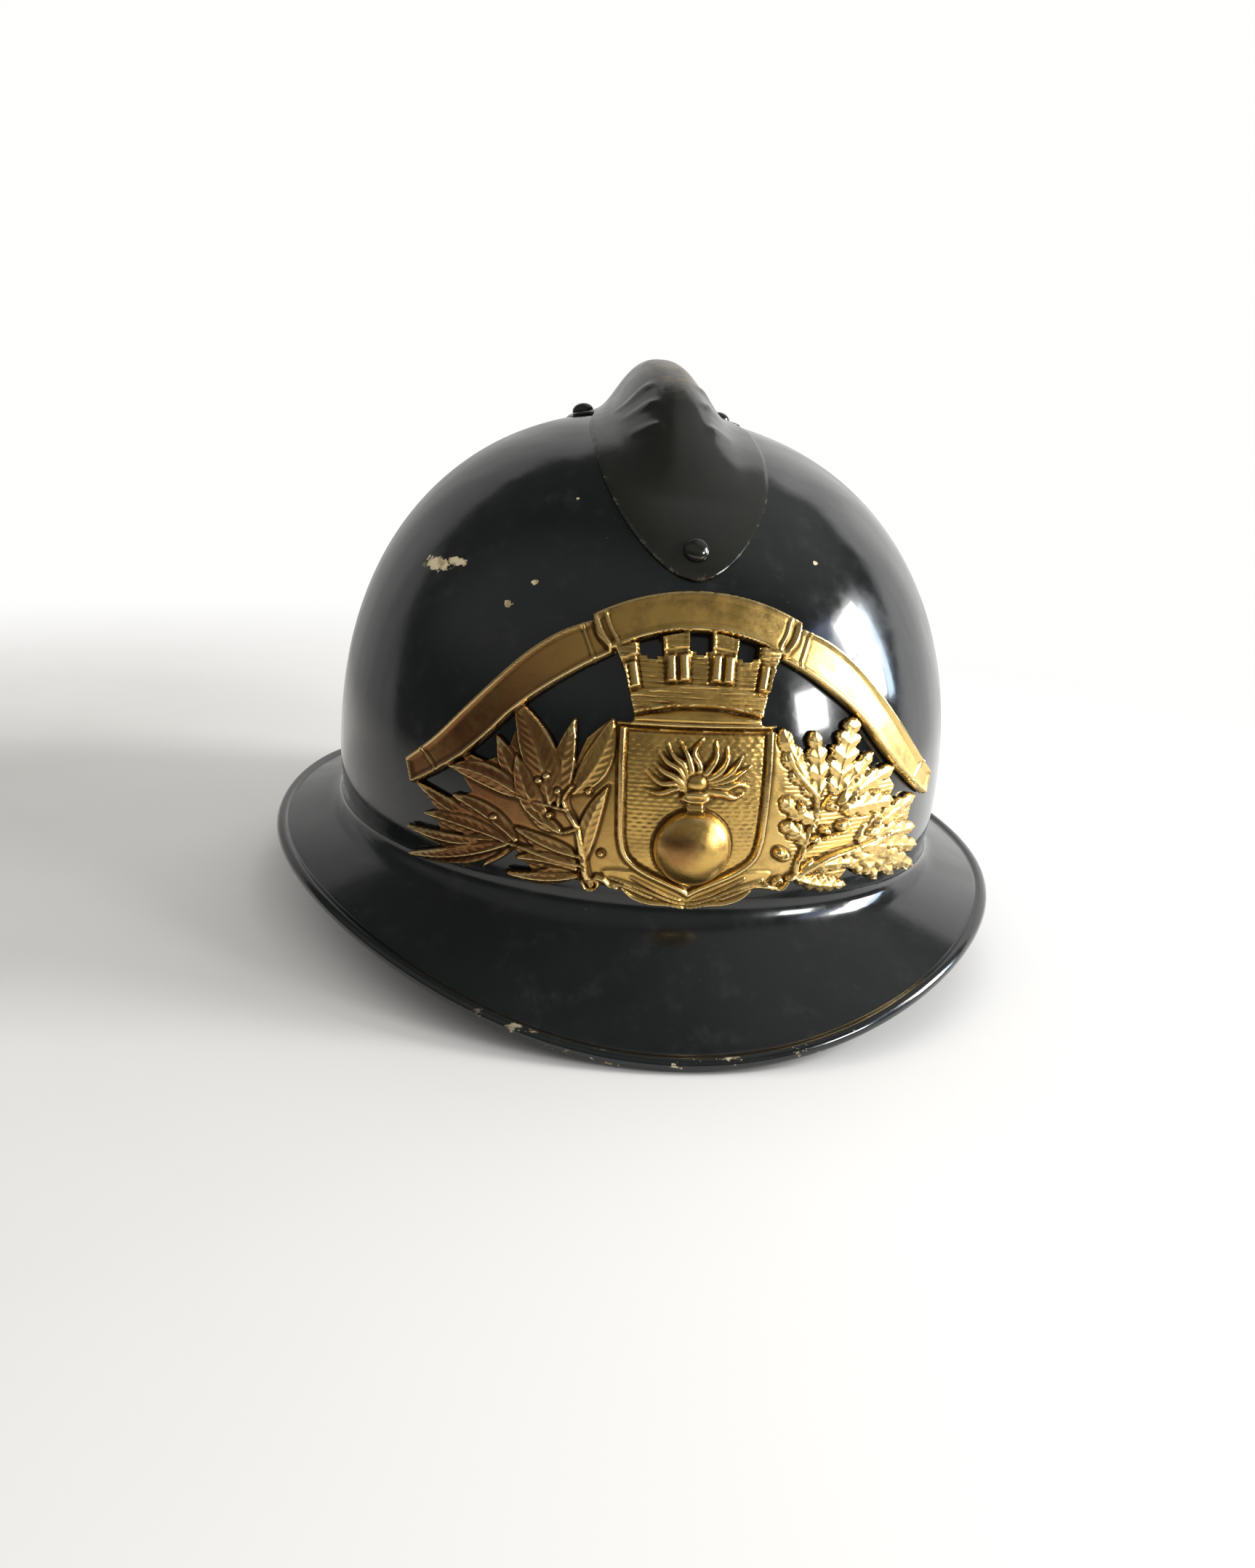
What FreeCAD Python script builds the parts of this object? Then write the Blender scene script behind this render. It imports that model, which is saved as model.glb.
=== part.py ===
"""Pressed-steel firefighter helmet with a riveted crest, a brass badge, a leather liner and a chin strap.

Frame: millimetres, +Z up, the front of the helmet towards -Y, the base of the rim at z = 0 and the
origin under the middle of the shell.
"""
import FreeCAD, Part
import math
import os

from FreeCAD import Placement, Rotation, Vector

# Shell
DOME_HALF_WIDTH = 96.9
DOME_HALF_LENGTH = 113.5
DOME_HEIGHT = 125.5          # above the line where the dome meets the brim
DOME_POWER = 2.23            # 2 would make the side profile an ellipse
PLAN_POWER = 2.12            # 2 would make the dome's plan an ellipse
WAIST_HEIGHT = 20.0          # the dome is widest this far above the brim line
WAIST_TUCK = 0.022           # how much narrower it is at the brim line
BRIM_SIDE = 18.9             # reach of the brim past the dome's widest line
BRIM_END = 31.2
BRIM_SIDE_DROP = 7.4
BRIM_END_DROP = 26.0
BRIM_DROP_POWER = 3.8
BRIM_PLAN_POWER = 2.05
BEAD_RADIUS = 1.9            # rolled edge
SHEET = 0.9
FILLET_UP = 5.0              # blend between dome and brim
FILLET_OUT = 6.0
BRIM_LINE = BRIM_END_DROP + BEAD_RADIUS

# Crest
CREST_SHEET = 0.8
CREST_GAP = 0.15
CREST_TIP = -95.0            # front point, along Y
CREST_MIDDLE = 5.0
CREST_RISE = 15.3
CREST_BELL = 11.7            # half-width scale of the ridge
CREST_BELL_POWER = 2.7
CREST_RIDGE_REACH = 82.0     # the ridge fades out this far from the middle
CREST_APRON = 24.0           # half-width of the front and rear flaps
CREST_SADDLE = 20.5          # half-width beside the ears
CREST_EAR = 26.5
CREST_EAR_MIDDLE = 8.0
CREST_EAR_HALF = 13.0
CREST_YAW = 1.8              # degrees about the front rivet
EAR_RIVET_X = 22.0
TIP_RIVET_INSET = 5.5

# Rivets and washers
SHANK = 1.5                  # radius
SHANK_CLEARANCE = 0.05
HEAD_RADIUS = 3.4
HEAD_RISE = 2.4
HEAD_GAP = 0.5
WASHER_RADIUS = 4.2
WASHER_THICKNESS = 0.8
WASHER_GAP = 0.2
PEEN = 1.0                   # length and spread of a shank's upset end
VENT_RADIUS = 2.5
VENT_PLACES = (-28.0, -14.0, 0.0, 14.0, 28.0)

# Badge
BADGE_THICKNESS = 1.4
BADGE_GAP = 0.5
TAB_X = 30.0
TAB_Z = 30.0                 # above the brim line
TAB_WIDTH = 7.0
TAB_THICKNESS = 0.6
TAB_FOLD = 14.0
TAB_DEPTH = 2.1              # of the fold's inner face below the shell's
TAB_SLOT_CLEARANCE = 0.4

# Liner
LINER_BOTTOM = 25.0
LINER_TOP = 54.0
HEAD_HALF_WIDTH = 80.5
HEAD_HALF_LENGTH = 100.0
LEATHER = 1.8
FELT = 2.0
LAYER_GAP = 0.15
FELT_BOTTOM = LINER_BOTTOM + 4
FELT_TOP = LINER_TOP - 3
TONGUES = 7
TONGUE_FOOT = LINER_BOTTOM + 8
TONGUE_GAP = 2.5             # degrees left free on each side of a tongue's foot
TONGUE_TIP_HEIGHT = 122.0
TONGUE_TIP_RADIUS = 24.0
TONGUE_THICKNESS = 1.5
LACE_RADIUS = 1.0
LACE_RING = TONGUE_TIP_RADIUS + 4
SPACER_BOTTOM = 33.0
SPACER_TOP = 50.0
SPACER_SHEET = 0.5
SPACER_WAVES = 4
SPACER_HALF_TURN = 15.0      # degrees of the dome's plan
SPACER_FELT_GAP = 0.5
SPACER_WALL_GAP = 1.5
SPACER_ANGLES = {"front": -90.0, "rear": 90.0, "left": 197.0, "right": -17.0}
CLIP_WIDTH = 9.0
CLIP_SHEET = 0.6
CLIP_TOP = 50.0
CLIP_GAP = 0.25
CLIP_DROP = 1.2              # below and inside the leather band
CLIP_HOOK = 7.0

# Chin strap
PIVOT_Y = 5.0
PIVOT_Z = 36.0
PIVOT_SHANK = 2.0
HANGER_SHEET = 1.2
HANGER_EYE = 6.0
HANGER_WIDTH = 20.0
HANGER_GAUGE = 2.4
HANGER_PLATE_REACH = 11.0
HANGER_LOOP_REACH = 17.0
HANGER_LOOP_X = 87.0
HANGER_SEAT_GAP = 0.7        # the curved wall needs this much at the swinging plate's corners
PIVOT_WASHER_RADIUS = 5.0
PIVOT_HEAD = (4.0, 3.0, 1.2) # radius at the shell, radius at the top and height
PIVOT_HEAD_GAP = 0.6
PIVOT_UPSET = (3.6, 2.6, 1.3)
STRAP_WIDTH = 14.0
STRAP_THICKNESS = 2.2
STRAP_REACH = 110.0          # from the pivot to the far run
STRAP_HALF_RUN = 28.0        # half-length of the straight far run
STRAP_TILT = 13.4            # degrees below level when it lies on a table
TAIL_THICKNESS = 1.76
TAIL_WIDTH = 13.0
TAIL_SHORT = 3.0             # how far the tail stops before the end of the straight run
TAIL_GAP = 0.1
BUCKLE_X = 6.0
BUCKLE_LENGTH = 18.0
BUCKLE_WALL = 1.6
BUCKLE_CLEARANCE = 0.3
BUCKLE_WINDOW_END = 3.0      # of wall left beside the window in the buckle's face
BUCKLE_WINDOW_SIDE = 2.0

RING_POINTS = 36
OUT = "parts"


# ---------------------------------------------------------------- surfaces

def super_direction(angle, power):
    """Point of the unit super-ellipse in this direction."""
    c, s = math.cos(angle), math.sin(angle)
    k = (abs(c) ** power + abs(s) ** power) ** (-1.0 / power)
    return c * k, s * k


def dome_ring(angle, fraction, height):
    c, s = super_direction(angle, PLAN_POWER)
    return Vector(
        DOME_HALF_WIDTH * c * fraction,
        DOME_HALF_LENGTH * s * fraction,
        BRIM_LINE + height,
    )


def tuck(height):
    return 1.0 - WAIST_TUCK * ((WAIST_HEIGHT - height) / WAIST_HEIGHT) ** 2


def rim_edge(angle):
    c, s = super_direction(angle, BRIM_PLAN_POWER)
    drop = BRIM_SIDE_DROP + (BRIM_END_DROP - BRIM_SIDE_DROP) * abs(s) ** BRIM_DROP_POWER
    return Vector(
        (DOME_HALF_WIDTH + BRIM_SIDE) * c, (DOME_HALF_LENGTH + BRIM_END) * s, BRIM_LINE - drop
    )


def bead_point(angle, turn):
    """Point on the rolled edge: turn 0 is its outermost line, 90 its top."""
    edge = rim_edge(angle)
    half_width, half_length = DOME_HALF_WIDTH + BRIM_SIDE, DOME_HALF_LENGTH + BRIM_END
    outward = Vector(edge.x / half_width ** 2, edge.y / half_length ** 2, 0)
    outward.normalize()
    centre = edge - outward * BEAD_RADIUS
    a = math.radians(turn)
    return centre + outward * (BEAD_RADIUS * math.cos(a)) + Vector(0, 0, BEAD_RADIUS * math.sin(a))


CREASE_TURN = 140.0
UNDERSIDE_TURN = -190.0


def skin(angle, s):
    """Outside of the shell: s runs from 0 at the crown through the brim line to 1 at the rolled edge."""
    if s <= 0.55:
        q = s / 0.55 * math.pi / 2
        fraction = math.sin(q) ** (2 / DOME_POWER)
        rise = max(math.cos(q), 0.0) ** (2 / DOME_POWER)
        return dome_ring(angle, fraction, WAIST_HEIGHT + (DOME_HEIGHT - WAIST_HEIGHT) * rise)
    if s <= 0.7:
        height = WAIST_HEIGHT + (FILLET_UP - WAIST_HEIGHT) * (s - 0.55) / 0.15
        return dome_ring(angle, tuck(height), height)
    corner = dome_ring(angle, tuck(0.0), 0.0)
    crease = bead_point(angle, CREASE_TURN)
    run = (crease - corner).Length
    landing = corner + (crease - corner) * (FILLET_OUT / run)
    if s <= 0.8:
        t = (s - 0.7) / 0.1
        top = dome_ring(angle, tuck(FILLET_UP), FILLET_UP)
        return top * (1 - t) ** 2 + corner * (2 * t * (1 - t)) + landing * t ** 2
    return landing + (crease - landing) * ((s - 0.8) / 0.2)


def normal_of(surface, a, b, step=0.002):
    da = surface(a + step, b) - surface(a - step, b)
    db = surface(a, min(b + step, 1.0)) - surface(a, b - step)
    n = db.cross(da)
    n.normalize()
    return n


def shell_point(angle, s, offset):
    """Point at a distance outside (or, negative, inside) the shell's outer skin."""
    if s < 0.01:
        return Vector(0, 0, BRIM_LINE + DOME_HEIGHT + offset)
    n = normal_of(skin, angle, s)
    return skin(angle, s) + n * offset


def crown_height(x, y):
    """Height of the dome above a point of its plan."""
    across, along = abs(x / DOME_HALF_WIDTH), abs(y / DOME_HALF_LENGTH)
    g = min((across ** PLAN_POWER + along ** PLAN_POWER) ** (1 / PLAN_POWER), 0.9999)
    rise = (1 - g ** DOME_POWER) ** (1 / DOME_POWER)
    return BRIM_LINE + WAIST_HEIGHT + (DOME_HEIGHT - WAIST_HEIGHT) * rise


def crown_point(x, y, offset=0.0):
    e = 0.05
    n = Vector(
        (crown_height(x - e, y) - crown_height(x + e, y)) / (2 * e),
        (crown_height(x, y - e) - crown_height(x, y + e)) / (2 * e),
        1.0,
    )
    n.normalize()
    return Vector(x, y, crown_height(x, y)) + n * offset, n


def girth(height):
    """The dome's plan at this height above the brim line, as a part of its widest one."""
    if height <= WAIST_HEIGHT:
        return tuck(height)
    u = (height - WAIST_HEIGHT) / (DOME_HEIGHT - WAIST_HEIGHT)
    return (1 - u ** DOME_POWER) ** (1 / DOME_POWER)


def front_depth(x, height):
    f = girth(height)
    c = min(abs(x) / (DOME_HALF_WIDTH * f), 0.999)
    return -DOME_HALF_LENGTH * f * (1 - c ** PLAN_POWER) ** (1 / PLAN_POWER)


def front_point(x, height):
    """Point on the front of the dome at this x and height above the brim line, and its normal."""
    e = 0.05
    n = Vector(
        (front_depth(x + e, height) - front_depth(x - e, height)) / (2 * e),
        -1.0,
        (front_depth(x, height + e) - front_depth(x, height - e)) / (2 * e),
    )
    n.normalize()
    return Vector(x, front_depth(x, height), BRIM_LINE + height), n


def side_wall(y, height):
    """Half-width of the dome's outside at this y and height above the brim line."""
    f = girth(height)
    return DOME_HALF_WIDTH * f * (1 - (abs(y) / (DOME_HALF_LENGTH * f)) ** PLAN_POWER) ** (1 / PLAN_POWER)


def wall_radius(plan, height):
    """Distance from the axis to the dome's outside in this direction of its plan."""
    across, along = abs(math.cos(plan) / DOME_HALF_WIDTH), abs(math.sin(plan) / DOME_HALF_LENGTH)
    return girth(height) * (across ** PLAN_POWER + along ** PLAN_POWER) ** (-1 / PLAN_POWER)


def tightest_wall(plan):
    """The same just above the brim's fillet, where the dome's lower wall is narrowest."""
    return wall_radius(plan, FILLET_UP) - 0.15


# ---------------------------------------------------------------- builders

def smooth_ring(points):
    curve = Part.BSplineCurve()
    count = len(points)
    curve.interpolate(Points=points, PeriodicFlag=True, Parameters=[i / count for i in range(count + 1)])
    return Part.Wire([curve.toShape()])


def ring_angles(count=RING_POINTS):
    return [2 * math.pi * i / count for i in range(count)]


def sew_solid(faces):
    shell = Part.makeShell(faces)
    shell.sewShape()
    solid = Part.makeSolid(shell)
    if solid.Volume < 0:
        solid.reverse()
    return solid


def grid_face(grid):
    surface = Part.BSplineSurface()
    surface.interpolate(grid)
    return surface


def edge_between(points):
    curve = Part.BSplineCurve()
    curve.interpolate(Points=points)
    return curve.toShape()


def slab(top, bottom):
    """Solid between two grids of points of the same size."""
    faces = [grid_face(top).toShape(), grid_face(bottom).toShape()]
    upper, lower = faces[0].Edges, faces[1].Edges
    for edge in upper:
        mate = min(lower, key=lambda other: (
            other.valueAt(sum(other.ParameterRange) / 2) - edge.valueAt(sum(edge.ParameterRange) / 2)).Length)
        faces.append(Part.makeRuledSurface(edge, mate))
    return sew_solid(faces)


def placed(shape, base, normal, along=None):
    """The shape moved so that its own +Z follows the normal and, if given, its +X follows along."""
    if along is None:
        rotation = Rotation(Vector(0, 0, 1), normal)
    else:
        y = normal.cross(along)
        rotation = Rotation(along, y, normal, "ZXY")
    moved = shape.copy()
    moved.Placement = Placement(base, rotation).multiply(moved.Placement)
    return moved


def plan_ring(half_width, half_length, bottom, top, thickness):
    def slab_of(grow):
        major, minor = half_length + grow, half_width + grow
        ellipse = Part.Ellipse(Vector(0, major, bottom), Vector(minor, 0, bottom), Vector(0, 0, bottom))
        return Part.Face(Part.Wire([ellipse.toShape()])).extrude(Vector(0, 0, top - bottom))
    return slab_of(thickness).cut(slab_of(0.0))


# ---------------------------------------------------------------- shell

def dome_tool(offset):
    """Solid under an offset copy of the dome, down past the brim line."""
    rings = []
    for s in (0.03, 0.08, 0.15, 0.22, 0.29, 0.36, 0.43, 0.49, 0.54):
        rings.append(smooth_ring([shell_point(a, s, offset) for a in ring_angles()]))
    for height in (14.0, 7.0, 0.0, -6.0):
        rings.append(smooth_ring([
            dome_ring(a, tuck(height) + offset / DOME_HALF_WIDTH, height) for a in ring_angles()]))
    top = Part.Vertex(0, 0, BRIM_LINE + DOME_HEIGHT + offset)
    return Part.makeLoft([top] + rings, True)


def make_shell():
    angles = ring_angles()
    dome_steps = (0.03, 0.08, 0.15, 0.22, 0.29, 0.36, 0.43, 0.49, 0.54, 0.59, 0.645, 0.7)
    fillet_steps = (0.7, 0.725, 0.75, 0.775, 0.8)
    turns = [CREASE_TURN + (UNDERSIDE_TURN - CREASE_TURN) * i / 12 for i in range(13)]
    bead = [smooth_ring([bead_point(a, turn) for a in angles]) for turn in turns]
    faces = list(Part.makeLoft(bead, False).Faces)
    for offset, last in ((0.0, bead[0]), (-SHEET, bead[-1])):
        crown = Part.Vertex(0, 0, BRIM_LINE + DOME_HEIGHT + offset)
        dome = [smooth_ring([shell_point(a, s, offset) for a in angles]) for s in dome_steps]
        fillet = [smooth_ring([shell_point(a, s, offset) for a in angles]) for s in fillet_steps]
        faces += Part.makeLoft([crown] + dome, False).Faces
        faces += Part.makeLoft(fillet, False).Faces
        faces += Part.makeLoft([fillet[-1], last], False, True).Faces
    return sew_solid(faces)


def shell_holes():
    holes = []
    for base, normal in crest_rivet_seats().values():
        holes.append(normal_hole(base, normal, SHANK + SHANK_CLEARANCE))
    for y in VENT_PLACES:
        base, normal = crown_point(0.0, y)
        holes.append(normal_hole(base, normal, VENT_RADIUS))
    for side in (-1, 1):
        bore = pivot_cylinder(PIVOT_SHANK + SHANK_CLEARANCE, 30, 80)
        holes.append(bore if side > 0 else across_the_middle(bore))
        base, normal = front_point(side * TAB_X, TAB_Z)
        long_half = TAB_WIDTH / 2 + TAB_SLOT_CLEARANCE
        short_half = TAB_THICKNESS / 2 + TAB_SLOT_CLEARANCE
        slot = Part.makeBox(2 * short_half, 2 * long_half, 12, Vector(-short_half, -long_half, -6))
        holes.append(placed(slot, base, normal, level_along(normal)))
    return holes


def normal_hole(base, normal, radius):
    return Part.makeCylinder(radius, 12, base - normal * 6, normal)


def pivot_cylinder(radius, length, x):
    """Cylinder on the chin strap's pivot axis, from this x outwards."""
    return Part.makeCylinder(radius, length, Vector(x, PIVOT_Y, PIVOT_Z), Vector(1, 0, 0))


def pivot_cone(first, last, length, x, outwards=True):
    direction = Vector(1 if outwards else -1, 0, 0)
    return Part.makeCone(first, last, length, Vector(x, PIVOT_Y, PIVOT_Z), direction)


def across_the_middle(shape):
    """Mirror image on the other side of the helmet."""
    return shape.mirror(Vector(0, 0, 0), Vector(1, 0, 0))


def level_along(normal):
    """Level direction across this normal."""
    along = Vector(0, 0, 1).cross(normal)
    along.normalize()
    return along


# ---------------------------------------------------------------- crest

def crest_width(u):
    """Half-width of the crest's outline at this place along its length."""
    side = abs(u - CREST_MIDDLE)
    reach = CREST_MIDDLE - CREST_TIP
    q = min(side / reach, 1.0)
    flap = CREST_APRON * max(1 - max(q - 0.5, 0) ** 2.6 / 0.5 ** 2.6, 0.0) ** 0.55
    blend = min(max((side - 14.0) / 26.0, 0.0), 1.0)
    blend = blend * blend * (3 - 2 * blend)
    body = CREST_SADDLE * (1 - blend) + flap * blend
    near = min(max((CREST_EAR_HALF + 3.0 - abs(u - CREST_EAR_MIDDLE)) / 4.0, 0.0), 1.0)
    near = near * near * (3 - 2 * near)
    return max(body + (CREST_EAR - CREST_SADDLE) * near, 0.8)


def crest_rise(u, x):
    q = min(abs(u - CREST_MIDDLE) / CREST_RIDGE_REACH, 1.0)
    ridge = CREST_RISE * (1 - q * q) ** 1.25
    return ridge * math.exp(-(abs(x) / CREST_BELL) ** CREST_BELL_POWER)


def crest_point(u, x, offset):
    """Point of the crest: u along it, x across it, offset from its own underside."""
    a = math.radians(CREST_YAW)
    pivot = CREST_TIP + TIP_RIVET_INSET
    wx = x * math.cos(a) - (u - pivot) * math.sin(a)
    wy = pivot + x * math.sin(a) + (u - pivot) * math.cos(a)
    point, _ = crown_point(wx, wy, CREST_GAP + crest_rise(u, x) + offset)
    return point


def crest_outline():
    """Upright prism of the crest's plan outline, with its two ears."""
    reach = CREST_MIDDLE - CREST_TIP
    places = [CREST_MIDDLE - reach * math.cos(math.pi * i / 30) for i in range(31)]
    places += [CREST_EAR_MIDDLE + side * (CREST_EAR_HALF + k) for side in (-1, 1) for k in (-3, -1, 1, 3)]
    places = sorted(places)
    sides = []
    for sign in (-1, 1):
        flat = [crest_point(u, sign * crest_width(u), 0.0) for u in places]
        sides.append([Vector(p.x, p.y, 80.0) for p in flat])
    left, right = sides
    edges = [edge_between(left), edge_between(right), Part.makeLine(left[0], right[0]),
             Part.makeLine(left[-1], right[-1])]
    return Part.Face(Part.Wire(Part.__sortEdges__(edges))).extrude(Vector(0, 0, 120))


def make_crest():
    rows = 44
    columns = 24
    margin = 2.5
    half = CREST_EAR + margin
    first = CREST_TIP - margin
    length = 2 * (CREST_MIDDLE - first)
    top, bottom = [], []
    for i in range(rows + 1):
        u = first + length * i / rows
        xs = [half * (2 * j / columns - 1) for j in range(columns + 1)]
        top.append([crest_point(u, x, CREST_SHEET) for x in xs])
        bottom.append([crest_point(u, x, 0.0) for x in xs])
    crest = slab(top, bottom).common(crest_outline())
    for base, normal in crest_rivet_seats().values():
        crest = crest.cut(normal_hole(base, normal, SHANK + SHANK_CLEARANCE))
    return crest


def crest_rivet_seats():
    """Point on the dome and its normal for each of the four crest rivets."""
    reach = CREST_MIDDLE - CREST_TIP
    places = {
        "front": (CREST_TIP + TIP_RIVET_INSET, 0.0),
        "rear": (CREST_MIDDLE + reach - TIP_RIVET_INSET, 0.0),
        "left": (CREST_EAR_MIDDLE, -EAR_RIVET_X),
        "right": (CREST_EAR_MIDDLE, EAR_RIVET_X),
    }
    seats = {}
    for name, (u, x) in places.items():
        flat = crest_point(u, x, 0.0)
        point, normal = crown_point(flat.x, flat.y)
        seats[name] = (point, normal)
    return seats


def make_crest_rivet(base, normal):
    """Domed head on the crest, shank through crest and shell, and a peened end on the washer."""
    seat = CREST_GAP + CREST_SHEET + HEAD_GAP
    ball = (HEAD_RADIUS ** 2 + HEAD_RISE ** 2) / (2 * HEAD_RISE)
    cap = Part.makeSphere(ball, Vector(0, 0, seat + HEAD_RISE - ball))
    cap = cap.common(Part.makeCylinder(HEAD_RADIUS + 1, 10, Vector(0, 0, seat)))
    depth = SHEET + WASHER_GAP + WASHER_THICKNESS + SHANK_CLEARANCE
    shank = Part.makeCylinder(SHANK, depth + seat + 0.1, Vector(0, 0, -depth))
    peen = Part.makeCone(SHANK, SHANK + PEEN, PEEN, Vector(0, 0, -depth - PEEN))
    return placed(cap.fuse([shank, peen]).removeSplitter(), base, normal)


def make_crest_washer(base, normal):
    low = -SHEET - WASHER_GAP - WASHER_THICKNESS
    ring = Part.makeCylinder(WASHER_RADIUS, WASHER_THICKNESS, Vector(0, 0, low))
    ring = ring.cut(Part.makeCylinder(SHANK + SHANK_CLEARANCE, 20, Vector(0, 0, -10)))
    return placed(ring, base, normal)


# ---------------------------------------------------------------- badge

BADGE_EDGE = ((0, 81), (14, 79.3), (26, 75), (38, 65.5), (51, 55), (61, 43.5), (71.5, 32), (69, 24.5),
              (70, 22), (72, 12.5), (71, 6), (59, 7.5), (44, 7), (30, 10), (22, 8), (10, 4.2), (0, 3.8))
BADGE_WINDOWS = (
    ((20, 53), (17, 64), (22, 65), (35, 57), (43, 50.5), (38, 44), (32, 47), (27, 44)),
    ((50, 40), (53, 42), (63, 30), (58, 28), (52, 33)),
)


def upright_prism(points):
    wire = Part.makePolygon([Vector(x, -135, BRIM_LINE + z) for x, z in points + (points[0],)])
    return Part.Face(wire).extrude(Vector(0, 90, 0))


def make_badge():
    right = BADGE_EDGE
    left = tuple((-x, z) for x, z in reversed(BADGE_EDGE[1:-1]))
    prism = upright_prism(right + left)
    for window in BADGE_WINDOWS:
        prism = prism.cut(upright_prism(window))
        prism = prism.cut(upright_prism(tuple((-x, z) for x, z in window)))
    layer = dome_tool(BADGE_GAP + BADGE_THICKNESS).common(prism)
    return layer.cut(dome_tool(BADGE_GAP))


def make_badge_tab(side):
    """Brass tab: through the slot, then folded flat against the inside of the shell."""
    base, normal = front_point(side * TAB_X, TAB_Z)
    corner = Vector(-TAB_THICKNESS / 2, -TAB_WIDTH / 2, -SHEET - TAB_DEPTH)
    leg = Part.makeBox(TAB_THICKNESS, TAB_WIDTH, SHEET + TAB_DEPTH + BADGE_GAP - 0.1, corner)
    fold = Part.makeBox(TAB_FOLD, TAB_WIDTH, TAB_THICKNESS, corner)
    return placed(leg.fuse(fold).removeSplitter(), base, normal, level_along(normal))


# ---------------------------------------------------------------- liner

def make_liner_band():
    return plan_ring(HEAD_HALF_WIDTH, HEAD_HALF_LENGTH, LINER_BOTTOM, LINER_TOP, LEATHER)


def make_felt_band():
    inside = LEATHER + LAYER_GAP
    return plan_ring(HEAD_HALF_WIDTH + inside, HEAD_HALF_LENGTH + inside, FELT_BOTTOM, FELT_TOP, FELT)


def tongue_point(angle, rise, across, lift):
    """Point of a tongue: rise 0 at the band and 1 at its tip, across -1 to 1, lift through its thickness."""
    half = math.radians(180.0 / TONGUES - TONGUE_GAP)
    foot_half = half * (1 - 0.12 * rise)
    q = rise * math.pi / 2
    inset = TONGUE_THICKNESS + LAYER_GAP
    a_foot = HEAD_HALF_WIDTH - inset + lift
    b_foot = HEAD_HALF_LENGTH - inset + lift
    a = a_foot + (TONGUE_TIP_RADIUS - a_foot) * (1 - math.cos(q)) ** 0.9
    b = b_foot + (TONGUE_TIP_RADIUS - b_foot) * (1 - math.cos(q)) ** 0.9
    taper = 1 - 0.35 * rise ** 3
    t = angle + across * foot_half * taper
    z = TONGUE_FOOT + (TONGUE_TIP_HEIGHT - TONGUE_FOOT) * math.sin(q) ** 0.92 + lift * rise
    return Vector(a * math.cos(t), b * math.sin(t), z)


def make_tongue(index):
    angle = -math.pi / 2 + 2 * math.pi * index / TONGUES
    rises = [i / 12 for i in range(13)]
    acrosses = [j / 4 - 1 for j in range(9)]
    top = [[tongue_point(angle, r, c, TONGUE_THICKNESS) for c in acrosses] for r in rises]
    bottom = [[tongue_point(angle, r, c, 0.0) for c in acrosses] for r in rises]
    return slab(top, bottom)


def make_lace():
    height = TONGUE_TIP_HEIGHT + TONGUE_THICKNESS + LACE_RADIUS + 0.4
    return Part.makeTorus(LACE_RING, LACE_RADIUS, Vector(0, 0, height))


def felt_wall(angle):
    grow = LEATHER + LAYER_GAP + FELT
    a, b = HEAD_HALF_WIDTH + grow, HEAD_HALF_LENGTH + grow
    return 1 / math.hypot(math.cos(angle) / a, math.sin(angle) / b)


def make_spacer(angle_degrees):
    """Corrugated strip between the felt and the inside of the dome."""
    middle = math.radians(angle_degrees)
    half = math.radians(SPACER_HALF_TURN)
    steps = SPACER_WAVES * 8

    def path(shift):
        points = []
        for i in range(steps + 1):
            t = middle + half * (2 * i / steps - 1)
            low = felt_wall(t) + SPACER_FELT_GAP
            high = tightest_wall(t) - SHEET - SPACER_WALL_GAP
            wave = 0.5 - 0.5 * math.cos(2 * math.pi * SPACER_WAVES * i / steps)
            radius = low + (high - low) * wave
            points.append(Vector(radius * math.cos(t), radius * math.sin(t), SPACER_BOTTOM))
        moved = []
        for i, point in enumerate(points):
            ahead = points[min(i + 1, steps)]
            behind = points[max(i - 1, 0)]
            d = ahead - behind
            side = Vector(-d.y, d.x, 0)
            side.normalize()
            moved.append(point + side * shift)
        return moved

    near = path(-SPACER_SHEET / 2)
    far = path(SPACER_SHEET / 2)
    edges = [edge_between(near), Part.makeLine(near[-1], far[-1]), edge_between(far),
             Part.makeLine(far[0], near[0])]
    face = Part.Face(Part.Wire(Part.__sortEdges__(edges)))
    return face.extrude(Vector(0, 0, SPACER_TOP - SPACER_BOTTOM))


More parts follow.
